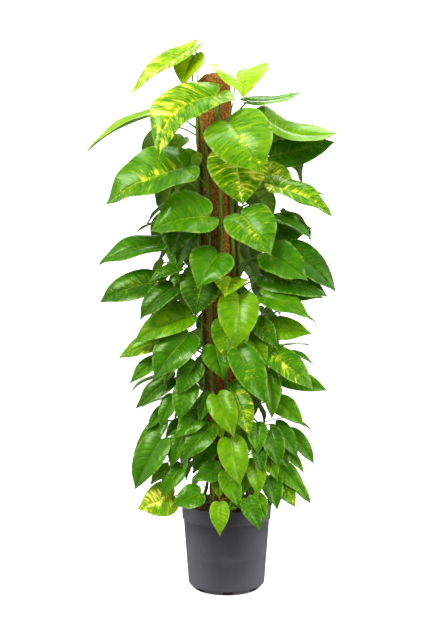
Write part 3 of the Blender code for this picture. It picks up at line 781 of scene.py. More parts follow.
# The planting list, zone by zone from the top: each row is one Leaf
CROWN_LEAVES = (
    (-2.6, 143.2, -19.6, 125.8, 14.5, 16, 6, 30, 12, 0.20), (0.6, 135.4, 9.8, 121.2, 18.5, 17, 6, 14, 8),
    (-11.6, 122.8, -34.9, 113.0, 17.5, 13, 3, 28, 14), (-5.2, 108.9, -21.6, 105.5, 16.0, 15, 3, 32, 20),
    (4.2, 109.3, 12.7, 98.2, 14.5, 15, 5, 22), (2.2, 127.0, 4.7, 112.2, 17.0, 12, 4, 12),
    (-9.5, 157.2, -28.0, 144.8, 12.0, 4, 3, 52, 8, 0, 0.01),
    (-16.6, 138.8, -41.3, 127.3, 12.0, 5, 2, 63, 14, 0, 0.05),
    (2.8, 149.4, 4.9, 142.8, 17.0, 6, 9, 46, 24), (6.0, 141.8, 22.8, 145.0, 8.5, 8, 1, 56, 4, 0, -0.08),
    (10.6, 137.3, 32.4, 133.8, 12.5, 8, 0, 47, 8, 0, -0.17),
    (13.0, 126.2, 31.0, 130.4, 9.0, 3, 0, 15, 4, 0, -0.05), (11.0, 121.8, 19.8, 117.4, 8.5, 9, 1, 25),
    (12.8, 117.4, 29.8, 109.1, 9.5, 12, 2, 40), (12.0, 115.6, 30.2, 114.6, 7.5, 5, -2, 84),
    (-9.5, 126.5, -14.6, 115.6, 8.0, 6, 1, 12), (-8.2, 153.6, -11.2, 144.6, 9.5, 0, 3, 16),
    (-12.1, 131.3, -15.7, 126.6, 6.5, -2, 1, 20),
)

MIDDLE_LEAVES = (
    (-12.5, 107.8, -15.8, 97.8, 11.0, 10, 4, 5), (-19.3, 101.0, -36.8, 95.5, 9.5, 6, 2, 36),
    (-18.5, 107.4, -26.5, 103.7, 5.0, -4, -1, 85), (-2.5, 98.2, -8.3, 88.6, 12.5, 17, 5, 20, 8),
    (1.5, 91.3, -0.4, 86.2, 10.0, 13, 7, 46), (11.5, 98.5, 23.2, 91.0, 11.5, 12, 2, 18),
    (17.5, 99.5, 31.4, 87.5, 10.0, 8, 1, 22), (14.0, 108.2, 25.3, 101.8, 5.5, 8, 1, 55),
    (12.8, 105.0, 24.2, 105.6, 10.0, 4, 0, 12), (-11.5, 98.4, -17.0, 95.3, 4.5, 8, 1, 40),
    (-13.5, 94.2, -22.3, 90.3, 5.5, 14, 2, 48), (-20.2, 90.2, -36.3, 84.8, 10.5, 8, 1, 28),
    (-15.5, 88.5, -25.0, 79.6, 8.0, 14, 2, 30), (-12.8, 91.6, -17.8, 82.5, 6.0, 11, 2, 18),
    (-6.5, 91.5, -9.0, 80.5, 12.0, 13, 3, 15), (3.6, 86.2, 2.6, 71.5, 11.5, 15, 4, 12),
    (1.2, 79.2, 0.4, 67.2, 11.0, 12, 4, 14), (-3.2, 72.0, -0.9, 62.5, 9.0, 12, 4, 15),
    (3.2, 70.5, 10.5, 56.0, 9.0, 15, 4, 22), (5.5, 75.5, 11.7, 66.5, 7.5, 12, 3, 18),
    (8.2, 79.0, 14.7, 71.2, 6.5, 12, 2, 24), (12.2, 77.0, 24.5, 75.8, 7.5, 9, 2, 18),
    (10.5, 86.2, 24.2, 80.2, 8.0, 12, 2, 34), (10.8, 92.0, 29.2, 86.6, 10.5, 8, 1, 24),
    (15.5, 88.0, 27.8, 86.0, 6.5, 3, 0, 18), (14.5, 82.0, 27.4, 78.0, 6.0, 3, 0, 74),
    (9.2, 80.6, 15.0, 81.0, 4.0, -5, 0, 84), (13.0, 71.4, 25.8, 72.2, 5.0, 2, 0, 86),
    (12.2, 70.0, 24.9, 59.8, 9.0, 12, 2, 28), (15.5, 63.4, 28.8, 59.6, 6.5, 6, 1, 14),
    (17.5, 70.2, 25.6, 66.6, 4.5, 4, 0, 60), (-13.5, 83.2, -23.6, 78.0, 6.0, 8, 1, 34),
    (-10.5, 80.6, -26.2, 73.4, 9.5, 10, 2, 28), (-17.0, 74.0, -31.0, 68.8, 7.5, 7, 1, 28),
    (-11.0, 74.8, -20.9, 62.8, 11.5, 13, 3, 18), (-19.5, 68.2, -27.8, 61.5, 5.5, 7, 1, 18),
    (-15.2, 63.0, -26.0, 54.3, 6.5, 9, 1, 24), (-19.5, 63.4, -27.8, 59.0, 4.0, 3, 0, 74),
)

SKIRT_LEAVES = (
    (-10.5, 61.0, -13.8, 50.8, 7.5, 14, 3, 14), (-8.0, 67.0, -13.2, 58.3, 7.5, 11, 2, 14),
    (-15.2, 57.5, -25.2, 54.2, 4.0, 4, 0, 86), (-15.0, 57.5, -19.1, 49.0, 5.5, 11, 2, 14),
    (-17.5, 54.5, -22.8, 47.8, 4.0, 7, 1, 14), (-5.0, 58.6, -7.9, 50.0, 4.5, 13, 2, 14),
    (-2.5, 57.8, 2.2, 46.3, 8.0, 15, 4, 18), (2.5, 58.2, 6.8, 46.6, 7.5, 14, 4, 18),
    (1.8, 61.2, 7.4, 55.5, 5.0, 12, 2, 20), (12.0, 64.5, 13.0, 51.3, 6.0, 12, 3, 10),
    (14.0, 56.5, 22.2, 49.3, 7.0, 9, 2, 18), (-7.5, 52.3, -14.9, 45.8, 7.0, 13, 3, 24),
    (-5.0, 48.8, -12.6, 39.5, 7.5, 14, 3, 18), (-12.5, 46.5, -16.1, 37.3, 6.0, 12, 2, 14),
    (-2.5, 51.0, -1.3, 45.6, 4.5, 11, 2, 10), (1.0, 45.3, 3.9, 32.4, 8.5, 15, 4, 18),
    (8.5, 50.0, 8.8, 41.0, 6.0, 13, 3, 14), (12.5, 47.8, 15.3, 37.3, 7.0, 13, 3, 18),
    (14.0, 49.6, 20.6, 40.2, 6.0, 10, 2, 18), (18.0, 47.5, 25.2, 38.4, 5.5, 6, 1, 18),
    (-18.5, 50.5, -26.8, 35.8, 6.0, 7, 1, 14), (-18.0, 45.5, -25.5, 31.6, 9.5, 10, 2, 18),
    (-16.5, 38.0, -22.0, 32.4, 4.0, 6, 1, 18), (-13.0, 37.8, -18.8, 29.0, 6.0, 12, 2, 18),
    (-15.2, 29.5, -25.5, 25.8, 10.0, 11, 2, 8, 6), (-7.5, 30.3, -15.9, 26.4, 7.5, 15, 2, 30),
    (-1.8, 37.3, -9.9, 33.8, 6.5, 13, 3, 24), (-4.5, 44.5, -9.7, 35.8, 6.5, 10, 2, 14),
    (-2.2, 36.4, -2.0, 28.6, 5.5, 12, 2, 14), (-0.2, 36.2, 3.9, 26.2, 6.0, 13, 3, 24),
    (5.8, 37.0, 4.8, 29.5, 4.0, 14, 2, 14), (8.0, 39.5, 9.0, 29.0, 6.0, 14, 3, 18),
    (8.3, 43.6, 9.8, 36.3, 4.5, 12, 2, 14), (11.0, 40.8, 14.7, 33.8, 5.0, 12, 2, 18),
    (12.0, 35.0, 14.5, 25.4, 6.5, 11, 3, 22), (15.0, 38.0, 22.8, 29.6, 6.0, 8, 1, 18),
    (15.5, 32.5, 19.7, 26.2, 5.5, 9, 2, 14), (19.0, 33.5, 24.3, 26.9, 4.0, 4, 0, 18),
    (7.6, 29.6, 11.7, 22.5, 5.5, 15, 2, 28), (5.8, 28.6, 9.6, 19.8, 5.5, 16, 2, 20),
    (-2.0, 27.3, -1.9, 18.0, 5.6, 17, 2, 22), (3.2, 28.0, 0.3, 25.4, 3.0, 14, 1, 30),
    (17.0, 42.0, 22.3, 35.8, 3.5, 5, 0, 30), (14.5, 43.5, 17.6, 37.2, 4.5, 10, 2, 14),
    (4.5, 50.0, 6.8, 41.8, 6.0, 11, 2, 10), (-13.0, 50.6, -17.6, 45.8, 4.0, 9, 1, 14),
    (17.0, 52.0, 24.8, 47.7, 3.5, 5, 0, 70),
)

# Tone and marbling of the leaves that differ from their zone's, by place in the planting list
# Painted light among these: the raised tones of leaves 7 and 8 are a painted sheen, and the raised tone of
# leaf 16 is painted light that lifts the shade it hangs in.
SPECIAL = {
    0: (0.46, 1.00), 1: (0.50, 0.60), 2: (0.40, 0.62), 3: (0.42, 0.45), 4: (0.42, 0.68), 5: (0.44, 1.15),
    6: (0.66, 1.05), 7: (0.74, 0.40), 8: (0.80, 0.55), 9: (0.48, 0.12), 10: (0.56, 0.25), 11: (0.22, 0.10),
    12: (0.48, 1.05), 13: (0.42, 0.95), 14: (0.55, 0.30), 15: (0.64, 0.50), 16: (0.85, 0.45),
    17: (0.62, 0.40), 22: (0.66, 0.95), 33: (0.56, 0.20), 34: (0.50, 0.75), 46: (0.42, 0.75),
    51: (0.52, 0.85), 63: (0.42, 1.05), 71: (0.56, 0.15), 80: (0.56, 1.15), 92: (0.42, 0.85),
    93: (0.42, 0.95), 96: (0.60, 0.20),
}


class Blade(NamedTuple):
    """Where one blade hangs, in metres: its joint with the petiole, its tip and the way it faces."""

    base: Vector
    tip: Vector
    normal: Vector
    width: float
    fold: float
    bend: float = 0
    arch: float = 0.07

    def axes(self) -> tuple[float, Vector, Vector, Vector]:
        """Measure the blade.

        Returns:
            Its length, and the directions along it, across it and out of its upper face.
        """
        run = self.tip - self.base
        along = run.normalized()
        normal = squared(self.normal, along)
        return run.length, along, along.cross(normal), normal

    def corner(self, share: float, out: float) -> Vector:
        """Find a point of the plain arched and folded blade.

        Args:
            share: how far along it is, as a share of the length.
            out: how far from the midrib, as a share of the width.

        Returns:
            The point.
        """
        length, along, across, normal = self.axes()
        arch = 4 * max(share, 0) * (1 - share) * length
        side = out * self.width + self.bend * arch
        lift = self.arch * arch + abs(out) * self.width * math.tan(self.fold)
        return self.base + along * (share * length) + across * side + normal * lift

    def moved(self, push: float, pitch: float) -> Blade:
        """Move the blade a little.

        Args:
            push: how far outwards.
            pitch: the angle that it is tipped up by.

        Returns:
            The moved blade.
        """
        away = squared(self.normal, UP)
        normal = Matrix.Rotation(pitch, 3, away.cross(UP)) @ self.normal
        return self._replace(base=self.base + away * push, tip=self.tip + away * push, normal=normal)


class Hanging(NamedTuple):
    """A leaf in its place: blade, stem that it grows from, four guides of its stalk, tone and marbling."""

    blade: Blade
    vine: int
    guides: Guides
    tone: float
    marbling: float
    seed: float


def at_height(line: list[Vector], height: float) -> Vector:
    """Find the point of a stem at a height.

    Args:
        line: its middle line, from the foot up.
        height: the height.

    Returns:
        The point, or the nearest end.
    """
    for lower, upper in zip(line, line[1:]):
        if height <= upper.z:
            break
    return lower.lerp(upper, clamp((height - lower.z) / (upper.z - lower.z)))


@dataclass(frozen=True)
class SideGrowth:
    """The leaves of the sides and the back, by rule: angles are in degrees and heights in cm.

    front, aside and behind are how far round from the front a vine stands when it starts to carry them,
    to carry them close together, and to carry them up to its top.
    """

    front: int = 30
    aside: int = 60
    behind: int = 100
    lowest: float = 31
    step_front: float = 10.0
    step_aside: float = 8.8
    step_behind: float = 7.0
    steps_vary: Pair = (0.85, 1.2)
    over_top: float = 9
    side_top: float = 114
    shift: int = 14
    face_turn: float = math.radians(32)
    turns: Pair = (4, 22)
    reach: Pair = (8.0, 5.5)
    reaches_vary: Pair = (-1.2, 2.8)
    size: Pair = (8.0, 9.0)
    sizes_vary: Pair = (0.85, 1.12)
    width: Pair = (0.66, 0.20)
    droops: Pair = (38, 78)
    swings: Pair = (0.1, 0.6)
    tilts: Pair = (15, 42)
    folds: Pair = (4, 16)

    def blades(self, planting: Planting) -> list[Blade]:
        """Hang leaves on the vines that stand round the sides and the back.

        Args:
            planting: the vines and the pole.

        Returns:
            The blades.
        """
        rng = random.Random(SEED)
        blades = []
        for angle, top in planting.vines:
            bearing = abs((angle + 180) % 360 - 180)
            if bearing < self.front:
                continue
            near = (1 if angle < 180 else -1) * (bearing < self.aside)
            step = self.step_front if near else self.step_aside
            ceiling = min(top, self.side_top)
            if bearing > self.behind:
                step, ceiling = self.step_behind, top + self.over_top
            height = self.lowest + rng.uniform(0, step)
            side = rng.choice((-1, 1))
            while height < ceiling:
                blades.append(self.blade(planting, angle + near * self.shift, height, side, near, rng))
                height += step * rng.uniform(*self.steps_vary)
                side = -side
        return blades

    def blade(
        self, planting: Planting, angle: float, height: float, side: int, near: int, rng: random.Random
    ) -> Blade:
        """Hang one leaf, larger and further out the higher it is.

        Args:
            planting: the vines and the pole.
            angle: where it grows round the pole.
            height: its height.
            side: -1 or 1, the way it leans.
            near: -1 or 1 where it faces away from the front, else 0.
            rng: the draws.

        Returns:
            The blade.
        """
        growth = height / (planting.pole_top / CM)
        turn = math.radians(angle + side * rng.uniform(*self.turns))
        reach = (self.reach[0] + self.reach[1] * growth + rng.uniform(*self.reaches_vary)) * CM
        size = (self.size[0] + self.size[1] * growth**1.5) * rng.uniform(*self.sizes_vary) * CM
        droop = math.radians(rng.uniform(*self.droops))
        base = planting.pole_axis(height * CM) + outward(turn) * reach
        tip = base + swung(outward(turn + side * rng.uniform(*self.swings)), -UP, droop) * size
        tilt = math.radians(rng.uniform(*self.tilts))
        normal = swung(outward(turn + near * self.face_turn + rng.uniform(-0.3, 0.3)), UP, tilt)
        width = size * (self.width[0] + self.width[1] * growth)
        return Blade(base, tip, normal, width, math.radians(rng.uniform(*self.folds)))


@dataclass
class Planting:
    """The vines and how their leaves hang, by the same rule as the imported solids."""

    soil_top: float = 0.240
    pole_radius: float = 0.0500
    pole_top: float = 1.503
    pole_lean: float = math.radians(-1.65)
    stem_foot: float = 0.170
    stem_stand: float = 0.074
    stem_meets_pole: float = 0.315
    stem_step: float = 0.11
    stem_wander: float = math.radians(5)
    stem_radii: Pair = (0.0042, 0.0060)
    seat_gap: float = 0.0003
    blade_thickness: float = 0.0010
    turn_to_side: float = 0.5
    view_distance: float = 2.60
    view_height: float = 0.80
    view_plane: float = 0.14
    petiole_radius: float = 0.0019
    petiole_swell: Pair = (0.72, 1.3)
    petiole_taper: Pair = (1.3, 0.9)
    petiole_start: Pair = (0.27, 0.16)
    petiole_end: Pair = (0.17, 0.14)
    middling_leaf: float = 0.13
    long_petiole: float = 0.09
    neck_corner: float = math.radians(30)
    match: float = 0.0001
    tones_vary: Pair = (-0.17, 0.17)
    marbling_varies: Pair = (-0.25, 0.3)
    vines: tuple[tuple[int, int], ...] = (
        (8, 143), (43, 139), (78, 136), (114, 128), (150, 134),
        (186, 126), (222, 137), (256, 129), (290, 146), (328, 133),
    )
    drops: tuple[float, ...] = (0.045, 0.028, 0.062, 0.012, 0.08, -0.004, 0.10, -0.025, 0.12, 0.145, 0.18)
    moves: tuple[Pair, ...] = (
        (0, 0), (0.005, 0), (-0.005, 0), (0, 12), (0, -12), (0.010, 0), (-0.010, 0), (0.008, 12),
        (-0.008, 12), (0.008, -12), (-0.008, -12), (0.016, 0), (-0.016, 0), (0, 24), (0, -24), (0.016, 20),
        (-0.016, 20), (0.016, -20), (-0.016, -20), (0.024, 0), (-0.024, 0), (0.024, 20), (-0.024, -20),
        (0.030, 0), (-0.030, 0), (0.024, -20), (-0.024, 20), (0.038, 0), (-0.038, 0), (0.034, 16),
        (-0.034, -16), (0.046, 0), (-0.046, 0),
    )
    corners: list[KDTree] = field(default_factory=list)

    def pole_axis(self, height: float) -> Vector:
        """The middle of the leaning pole at this height."""
        return Vector((math.tan(self.pole_lean) * (height - self.soil_top), 0, height))

    def stalk_radius(self, length: float) -> float:
        """The radius of the stalk of a blade of this length."""
        return self.petiole_radius * clamp(length / self.middling_leaf, *self.petiole_swell)

    def stem_lines(self) -> list[list[Vector]]:
        """Draw each vine's middle line: upright in the soil, then in to the pole and up it.

        Returns:
            The lines.
        """
        rng = random.Random(SEED)
        lines = []
        stand_off = self.pole_radius + self.stem_radii[1] + 3 * self.seat_gap
        for degrees, top in self.vines:
            angle = math.radians(degrees)
            levels = (self.stem_foot, self.soil_top + self.stem_radii[0] * 2)
            line = [outward(angle) * self.stem_stand + UP * level for level in levels]
            rise = top * CM - self.stem_meets_pole
            steps = round(rise / self.stem_step)
            for index in range(steps + 1):
                level = self.stem_meets_pole + rise * index / steps
                turn = angle + rng.uniform(-self.stem_wander, self.stem_wander)
                line.append(self.pole_axis(level) + outward(turn) * stand_off)
            lines.append(line)
        return lines

    def at_depth(self, across: float, depth: float, up: float) -> Vector:
        """A point of the planting list, carried along the line of sight to its own depth."""
        ratio = (self.view_distance - depth) / (self.view_distance - self.view_plane)
        return Vector((across * ratio, -depth, self.view_height + (up - self.view_height) * ratio))

    def listed(self, leaf: Leaf) -> Blade:
        """Turn one line of the planting list into a blade in metres.

        Args:
            leaf: the line.

        Returns:
            The blade.
        """
        base = self.at_depth(leaf.x * CM, leaf.out * CM, leaf.z * CM)
        tip = self.at_depth(leaf.tip_x * CM, (leaf.out + leaf.lean) * CM, leaf.tip_z * CM)
        bearing = math.atan2(base.x + tip.x, 2 * (self.view_plane + leaf.out * CM))
        normal = swung(outward(self.turn_to_side * bearing), UP, math.radians(leaf.face))
        return Blade(base, tip, normal, leaf.width * CM, math.radians(leaf.fold), leaf.bend, leaf.arch)

    def read_frame(self) -> None:
        """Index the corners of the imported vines, which show how each leaf came to hang."""
        for number in range(len(self.vines)):
            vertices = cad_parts[f"vine_{number + 1:02d}"].data.vertices
            tree = KDTree(len(vertices))
            for index, vertex in enumerate(vertices):
                tree.insert(vertex.co, index)
            tree.balance()
            self.corners.append(tree)

    def found(self, vine: int, spot: Vector) -> bool:
        """Whether a packed vine has a corner at this spot."""
        return self.corners[vine].find(spot)[2] < self.match

    def hung(self, blade: Blade) -> tuple[Blade, int] | None:
        """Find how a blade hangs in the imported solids.

        Args:
            blade: the blade as it was meant to hang.

        Returns:
            The moved blade and its vine, or None if it found no room.
        """
        for push, pitch in self.moves:
            trial = blade.moved(push, math.radians(pitch))
            normal = trial.axes()[3] * (self.blade_thickness / 2)
            tip = trial.corner(1, 0)
            for vine in range(len(self.vines)):
                if self.found(vine, tip + normal) and self.found(vine, tip - normal):
                    return trial, vine
        return None

    def guides(self, blade: Blade, root: Vector) -> Guides:
        """Draw a leaf's stalk.

        Args:
            blade: its blade.
            root: where it leaves the middle of the stem.

        Returns:
            The four guides of its curve, from the root to the blade.
        """
        _, along, _, normal = blade.axes()
        span = (blade.base - root).length
        away = (root - self.pole_axis(root.z)).normalized()
        rise = root + (away * self.petiole_start[0] + UP * self.petiole_start[1]) * span
        fall = blade.base - (along * self.petiole_end[0] + normal * self.petiole_end[1]) * span
        return root, rise, fall, blade.base

    def stalk(self, blade: Blade, line: list[Vector], vine: int) -> Guides:
        """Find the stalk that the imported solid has, told by its first ring behind the blade.

        Args:
            blade: its blade, as it hangs.
            line: the middle line of its vine.
            vine: the vine's number.

        Returns:
            The four guides of its curve.
        """
        length, _, across, _ = blade.axes()
        best, guides = math.inf, None
        for drop in self.drops:
            root = at_height(line, min(blade.base.z - drop, line[-1].z - self.stem_radii[1]))
            trial = self.guides(blade, root)
            count = 4 if (blade.base - root).length > self.long_petiole else 3
            points = interpolate_bezier(*trial, count)
            along = (points[-1] - points[-3]).normalized()
            side = squared(across, along)
            thick = self.stalk_radius(length) * blend(*self.petiole_taper, (count - 2) / (count - 1))
            spot = points[-2] + swung(side, side.cross(along), self.neck_corner) * thick
            miss = self.corners[vine].find(spot)[2]
            if miss < best:
                best, guides = miss, trial
        if best > self.match:
            LOG.warning("a stalk of vine %d is %.1f mm from its solid", vine + 1, best * 1000)
        return guides

    def leaves(self, lines: list[list[Vector]]) -> list[Hanging]:
        """Hang every leaf in its place, with its tone and marbling.

        Args:
            lines: the middle lines of the vines.

        Returns:
            The leaves, in the order of the planting list and then round the sides.
        """
        self.read_frame()
        rng = random.Random(SEED + 1)
        beds = ((Zone.CROWN, CROWN_LEAVES), (Zone.MIDDLE, MIDDLE_LEAVES), (Zone.SKIRT, SKIRT_LEAVES))
        blades = [(zone, self.listed(Leaf(*row))) for zone, bed in beds for row in bed]
        blades += [(Zone.SIDE, blade) for blade in SideGrowth().blades(self)]
        hanging = []
        for number, (zone, blade) in enumerate(blades):
            tone, marbling = zone.value
            if zone is Zone.SIDE:
                growth = blade.base.z / self.pole_top
                tone, marbling = tone * (0.7 + 0.6 * growth), marbling * 2 * growth
            tone += rng.uniform(*self.tones_vary)
            marbling += rng.uniform(*self.marbling_varies)
            tone, marbling = SPECIAL.get(number, (tone, max(marbling, 0)))
            seed = rng.uniform(0, 10)
            settled = self.hung(blade)
            if settled is None:
                LOG.info("leaf %d has no place", number)
                continue
            trial, vine = settled
            hanging.append(Hanging(trial, vine, self.stalk(trial, lines[vine], vine), tone, marbling, seed))
        return hanging


@dataclass
class FineLeaf:
    """The shape of a blade: a smooth heart with sunken ribs, rolled halves and a waved margin.

    broad and slender are half outlines, as shares of the length and the width; the pairs of numbers
    below them are the least and the most that a leaf draws, as shares of its length or width.
    """

    box: Sequence[Sequence[float]]
    broad: tuple[Pair, ...] = (
        (0.0, 0.0), (-0.06, 0.030), (-0.115, 0.12), (-0.115, 0.25), (-0.050, 0.380), (0.065, 0.470),
        (0.20, 0.506), (0.35, 0.505), (0.50, 0.470), (0.64, 0.393), (0.76, 0.284), (0.85, 0.176),
        (0.915, 0.090), (0.96, 0.036), (1.0, 0.0),
    )
    slender: tuple[Pair, ...] = (
        (0.0, 0.0), (-0.05, 0.035), (-0.090, 0.13), (-0.085, 0.26), (-0.020, 0.385), (0.085, 0.465),
        (0.20, 0.500), (0.34, 0.488), (0.48, 0.432), (0.61, 0.340), (0.73, 0.226), (0.83, 0.126),
        (0.91, 0.056), (0.965, 0.020), (1.0, 0.0),
    )
    waves: Pair = (1.6, 3.2)
    ripples: Pair = (0.018, 0.042)
    puffs: Pair = (0.015, 0.05)
    curls: Pair = (0.03, 0.12)
    twists: Pair = (-0.10, 0.10)
    skews: Pair = (-0.03, 0.03)
    small: float = 0.09
    large: float = 0.17
    full_mesh: float = 0.19
    rows: int = 44
    columns: int = 24
    fan: float = 0.1
    sweep: float = 1.8
    rise: float = 1.4
    thickness: float = 0.0009
    groove: float = 0.0011
    groove_width: float = 0.0035
    curl_from: float = 0.55

    def margin(self, rows: int, length: float) -> list[Vector]:
        """Evenly spaced points of the half outline, from the petiole round the lobe to the tip.

        Args:
            rows: how many spaces there are between them.
            length: the blade's; larger blades are broader towards the tip.

        Returns:
            The points, as shares of the length and the width.
        """
        growth = clamp((length - self.small) / (self.large - self.small))
        pairs = zip(self.slender, self.broad)
        points = [Vector((*narrow, 0)).lerp(Vector((*wide, 0)), growth) for narrow, wide in pairs]
        return evenly(points, rows + 1)

    def grow(self, draft: Draft, leaf: Hanging, slot: int) -> None:
        """Build one blade as a closed form of two skins that meet at the margin.

        Args:
            draft: the mesh that it joins.
            leaf: the leaf.
            slot: the material's number.
        """
        blade = leaf.blade
        length, _, _, normal = blade.axes()
        share_of_full = clamp(length / self.full_mesh, 0.35)
        rows = 2 * round(self.rows * (0.35 + 0.65 * share_of_full) / 2)
        columns = 2 * round(self.columns * (0.4 + 0.6 * share_of_full) / 2)
        margin = self.margin(rows, length)
        lowest = min(range(rows + 1), key=lambda index: margin[index].x)
        rng = random.Random(round(leaf.seed * 1e6))
        waves = rng.uniform(*self.waves)
        phases = (rng.random(), rng.random())
        ripple = blade.width * rng.uniform(*self.ripples)
        puff = blade.width * rng.uniform(*self.puffs)
        curl = length * rng.uniform(*self.curls)
        twist = rng.uniform(*self.twists)
        skew = rng.uniform(*self.skews)

        def middle(x: float, y: float) -> Vector:
            """Find a point halfway through the blade.

            Args:
                x: how far across its map.
                y: how far along its map.

            Returns:
                The point.
            """
            side = 2 * x - 1
            out = abs(side) ** self.rise
            edge = margin[round(y * rows)]
            rib = 0.0
            if y * rows > lowest:
                rib = max((edge.x + self.fan) / (1 + self.fan), 0) ** self.sweep
            share = rib + (edge.x - rib) * out**1.5
            spread = edge.y * out * math.copysign(1, side)
            spread *= 1 + skew * math.copysign(1, side)
            lift = puff * math.sin(math.pi * out) * min(1, 2 * edge.y)
            wave = math.sin(math.tau * (waves * y + phases[side > 0]))
            lift += ripple * out**2.5 * wave * min(1, 10 * y * (1 - y))
            lift -= self.groove * bell(out * blade.width * edge.y, self.groove_width) * min(1, 6 * (1 - y))
            lift -= curl * max(share - self.curl_from, 0) ** 2 * 3
            lift += twist * spread * blade.width * max(share, 0)
            return blade.corner(share, spread) + normal * lift

        def skin(level: float, x: float, y: float) -> Vector:
            """A point of the upper skin, at level 1, or of the lower, at -1."""
            depth = (1 - abs(2 * x - 1) ** (6 * self.rise)) * min(1, 14 * y) * min(1, 14 * (1 - y))
            return middle(x, y) + normal * (level * depth * self.thickness / 2)

        nature = Vector((leaf.tone, leaf.marbling, leaf.seed))
        form = Draft()
        for under, level in enumerate((1, -1)):
            form.cloth(columns, rows, partial(skin, level), lambda spot: nature, under)
        form.close(slot)
        self.bring_inside(form)
        draft.take(form)

    def bring_inside(self, form: Draft) -> None:
        """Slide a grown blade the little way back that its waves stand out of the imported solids' box.

        Args:
            form: the grown blade.
        """
        for axis, (low, high) in enumerate(zip(*self.box)):
            reach = [vertex.co[axis] for vertex in form.shape.verts]
            shift = Vector()
            shift[axis] = max(low - min(reach), 0) - max(max(reach) - high, 0)
            bmesh.ops.translate(form.shape, verts=form.shape.verts, vec=shift)


@dataclass
class Vine:
    """One climbing stem with its leaves, their stalks, and roots that grip the pole."""

    number: int
    line: list[Vector]
    leaves: list[Hanging]
    planting: Planting
    fine: FineLeaf
    stem_sides: int = 12
    ring_gap: float = 0.007
    stem_slimming: float = 0.97
    node_gap: float = 0.048
    node_clearance: float = 0.6
    node_swell: float = 0.22
    node_width: float = 0.005
    scar: float = 0.75
    petiole_sides: int = 9
    petiole_rings: int = 16
    sheath: Pair = (0.16, 0.55)
    knee: Pair = (0.07, 0.28)
    knee_place: float = 0.9
    sunk_end: float = 0.55
    root_radius: float = 0.0011
    root_reach: Pair = (0.007, 0.014)
    root_drop: Pair = (-0.002, 0.006)

    def build(self, finishes: Sequence[Material]) -> Object:
        """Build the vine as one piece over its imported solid.

        Args:
            finishes: the leaf's and the stem's materials.

        Returns:
            The piece.
        """
        draft = Draft()
        for leaf in self.leaves:
            self.fine.grow(draft, leaf, 0)
            self.grow_petiole(draft, leaf)
        self.grow_stem(draft)
        name = f"vine_{self.number + 1:02d}"
        return draft.piece(f"{name}_foliage", finishes, name)

    def joints(self) -> list[float]:
        """Find the stem's nodes: where stalks leave it, and evenly between.

        Returns:
            Their heights.
        """
        heights = sorted(leaf.guides[0].z for leaf in self.leaves)
        level = self.line[1].z + self.node_gap / 2
        while level < self.line[-1].z:
            if all(abs(level - height) > self.node_gap * self.node_clearance for height in heights):
                heights.append(level)
            level += self.node_gap
        return sorted(heights)

    def grow_stem(self, draft: Draft) -> None:
        """Grow the stem, thicker at its nodes, and the roots at each of them.

        Args:
            draft: the mesh that they join.
        """
        count = round((self.line[-1].z - self.line[0].z) / self.ring_gap)
        spots = evenly(self.line, count + 1)
        joints = self.joints()

        def away(height: float) -> float:
            """How far a height is from the nearest node."""
            return min(abs(height - joint) for joint in joints)

        def radius(share: float) -> float:
            """The stem's radius this share of the way up."""
            swell = 1 + bell(away(spots[round(share * count)].z), self.node_width, self.node_swell)
            return blend(*self.planting.stem_radii, share) * swell * self.stem_slimming

        def nature(spot: Vector) -> Vector:
            """Green between the nodes and scarred at them."""
            scar = bell(away(spot.z), self.node_width * 0.7, self.scar)
            return Vector((0.42, scar, self.number * 0.37))

        draft.tube(spots, radius, self.stem_sides, 1, nature)
        rng = random.Random(SEED + self.number)
        for joint in joints:
            if joint > self.planting.stem_meets_pole:
                for way in (-1, 1):
                    self.grow_root(draft, joint, way, rng)

    def grow_root(self, draft: Draft, height: float, way: int, rng: random.Random) -> None:
        """Grow one short clinging root from a node into the coir.

        Args:
            draft: the mesh that it joins.
            height: the node's height.
            way: -1 or 1, the side that it leaves from.
            rng: the draws.
        """
        start = at_height(self.line, height)
        axis = self.planting.pole_axis(height)
        side = UP.cross((start - axis).normalized()) * way
        drop = -UP * rng.uniform(*self.root_drop)
        reach = rng.uniform(*self.root_reach)
        skin = self.planting.pole_radius - 0.001
        end = axis + (start + side * reach - axis).normalized() * skin + drop
        middle = start + side * reach * 0.8 + drop * 0.4
        line = interpolate_bezier(start, start + side * 0.005, middle, end, 6)
        nature = Vector((0.3, 1, height))
        draft.tube(line, lambda share: self.root_radius * (1 - 0.5 * share), 6, 1, lambda spot: nature)

    def grow_petiole(self, draft: Draft, leaf: Hanging) -> None:
        """Grow a leaf's stalk: a curved tube, sheathed at the stem and swollen at its knee.

        Args:
            draft: the mesh that it joins.
            leaf: the leaf.
        """
        length, along, _, normal = leaf.blade.axes()
        thick = self.planting.stalk_radius(length)
        root, rise, fall, end = leaf.guides
        line = interpolate_bezier(root, rise, fall, end - normal * 0.0006, self.petiole_rings)
        line.append(end + along * 0.004 - normal * 0.0010)

        def radius(share: float) -> float:
            """The stalk's radius this share of the way out: its last ring is sunk in the blade."""
            swell = 1 + bell(share, *self.sheath) + bell(share - self.knee_place, *self.knee)
            return thick * swell * (1 if share < 0.97 else self.sunk_end)

        nature = Vector((0.25 + leaf.tone * 0.5, 0.06, leaf.seed))
        draft.tube(line, radius, self.petiole_sides, 1, lambda spot: nature)


# Pot, soil and pole


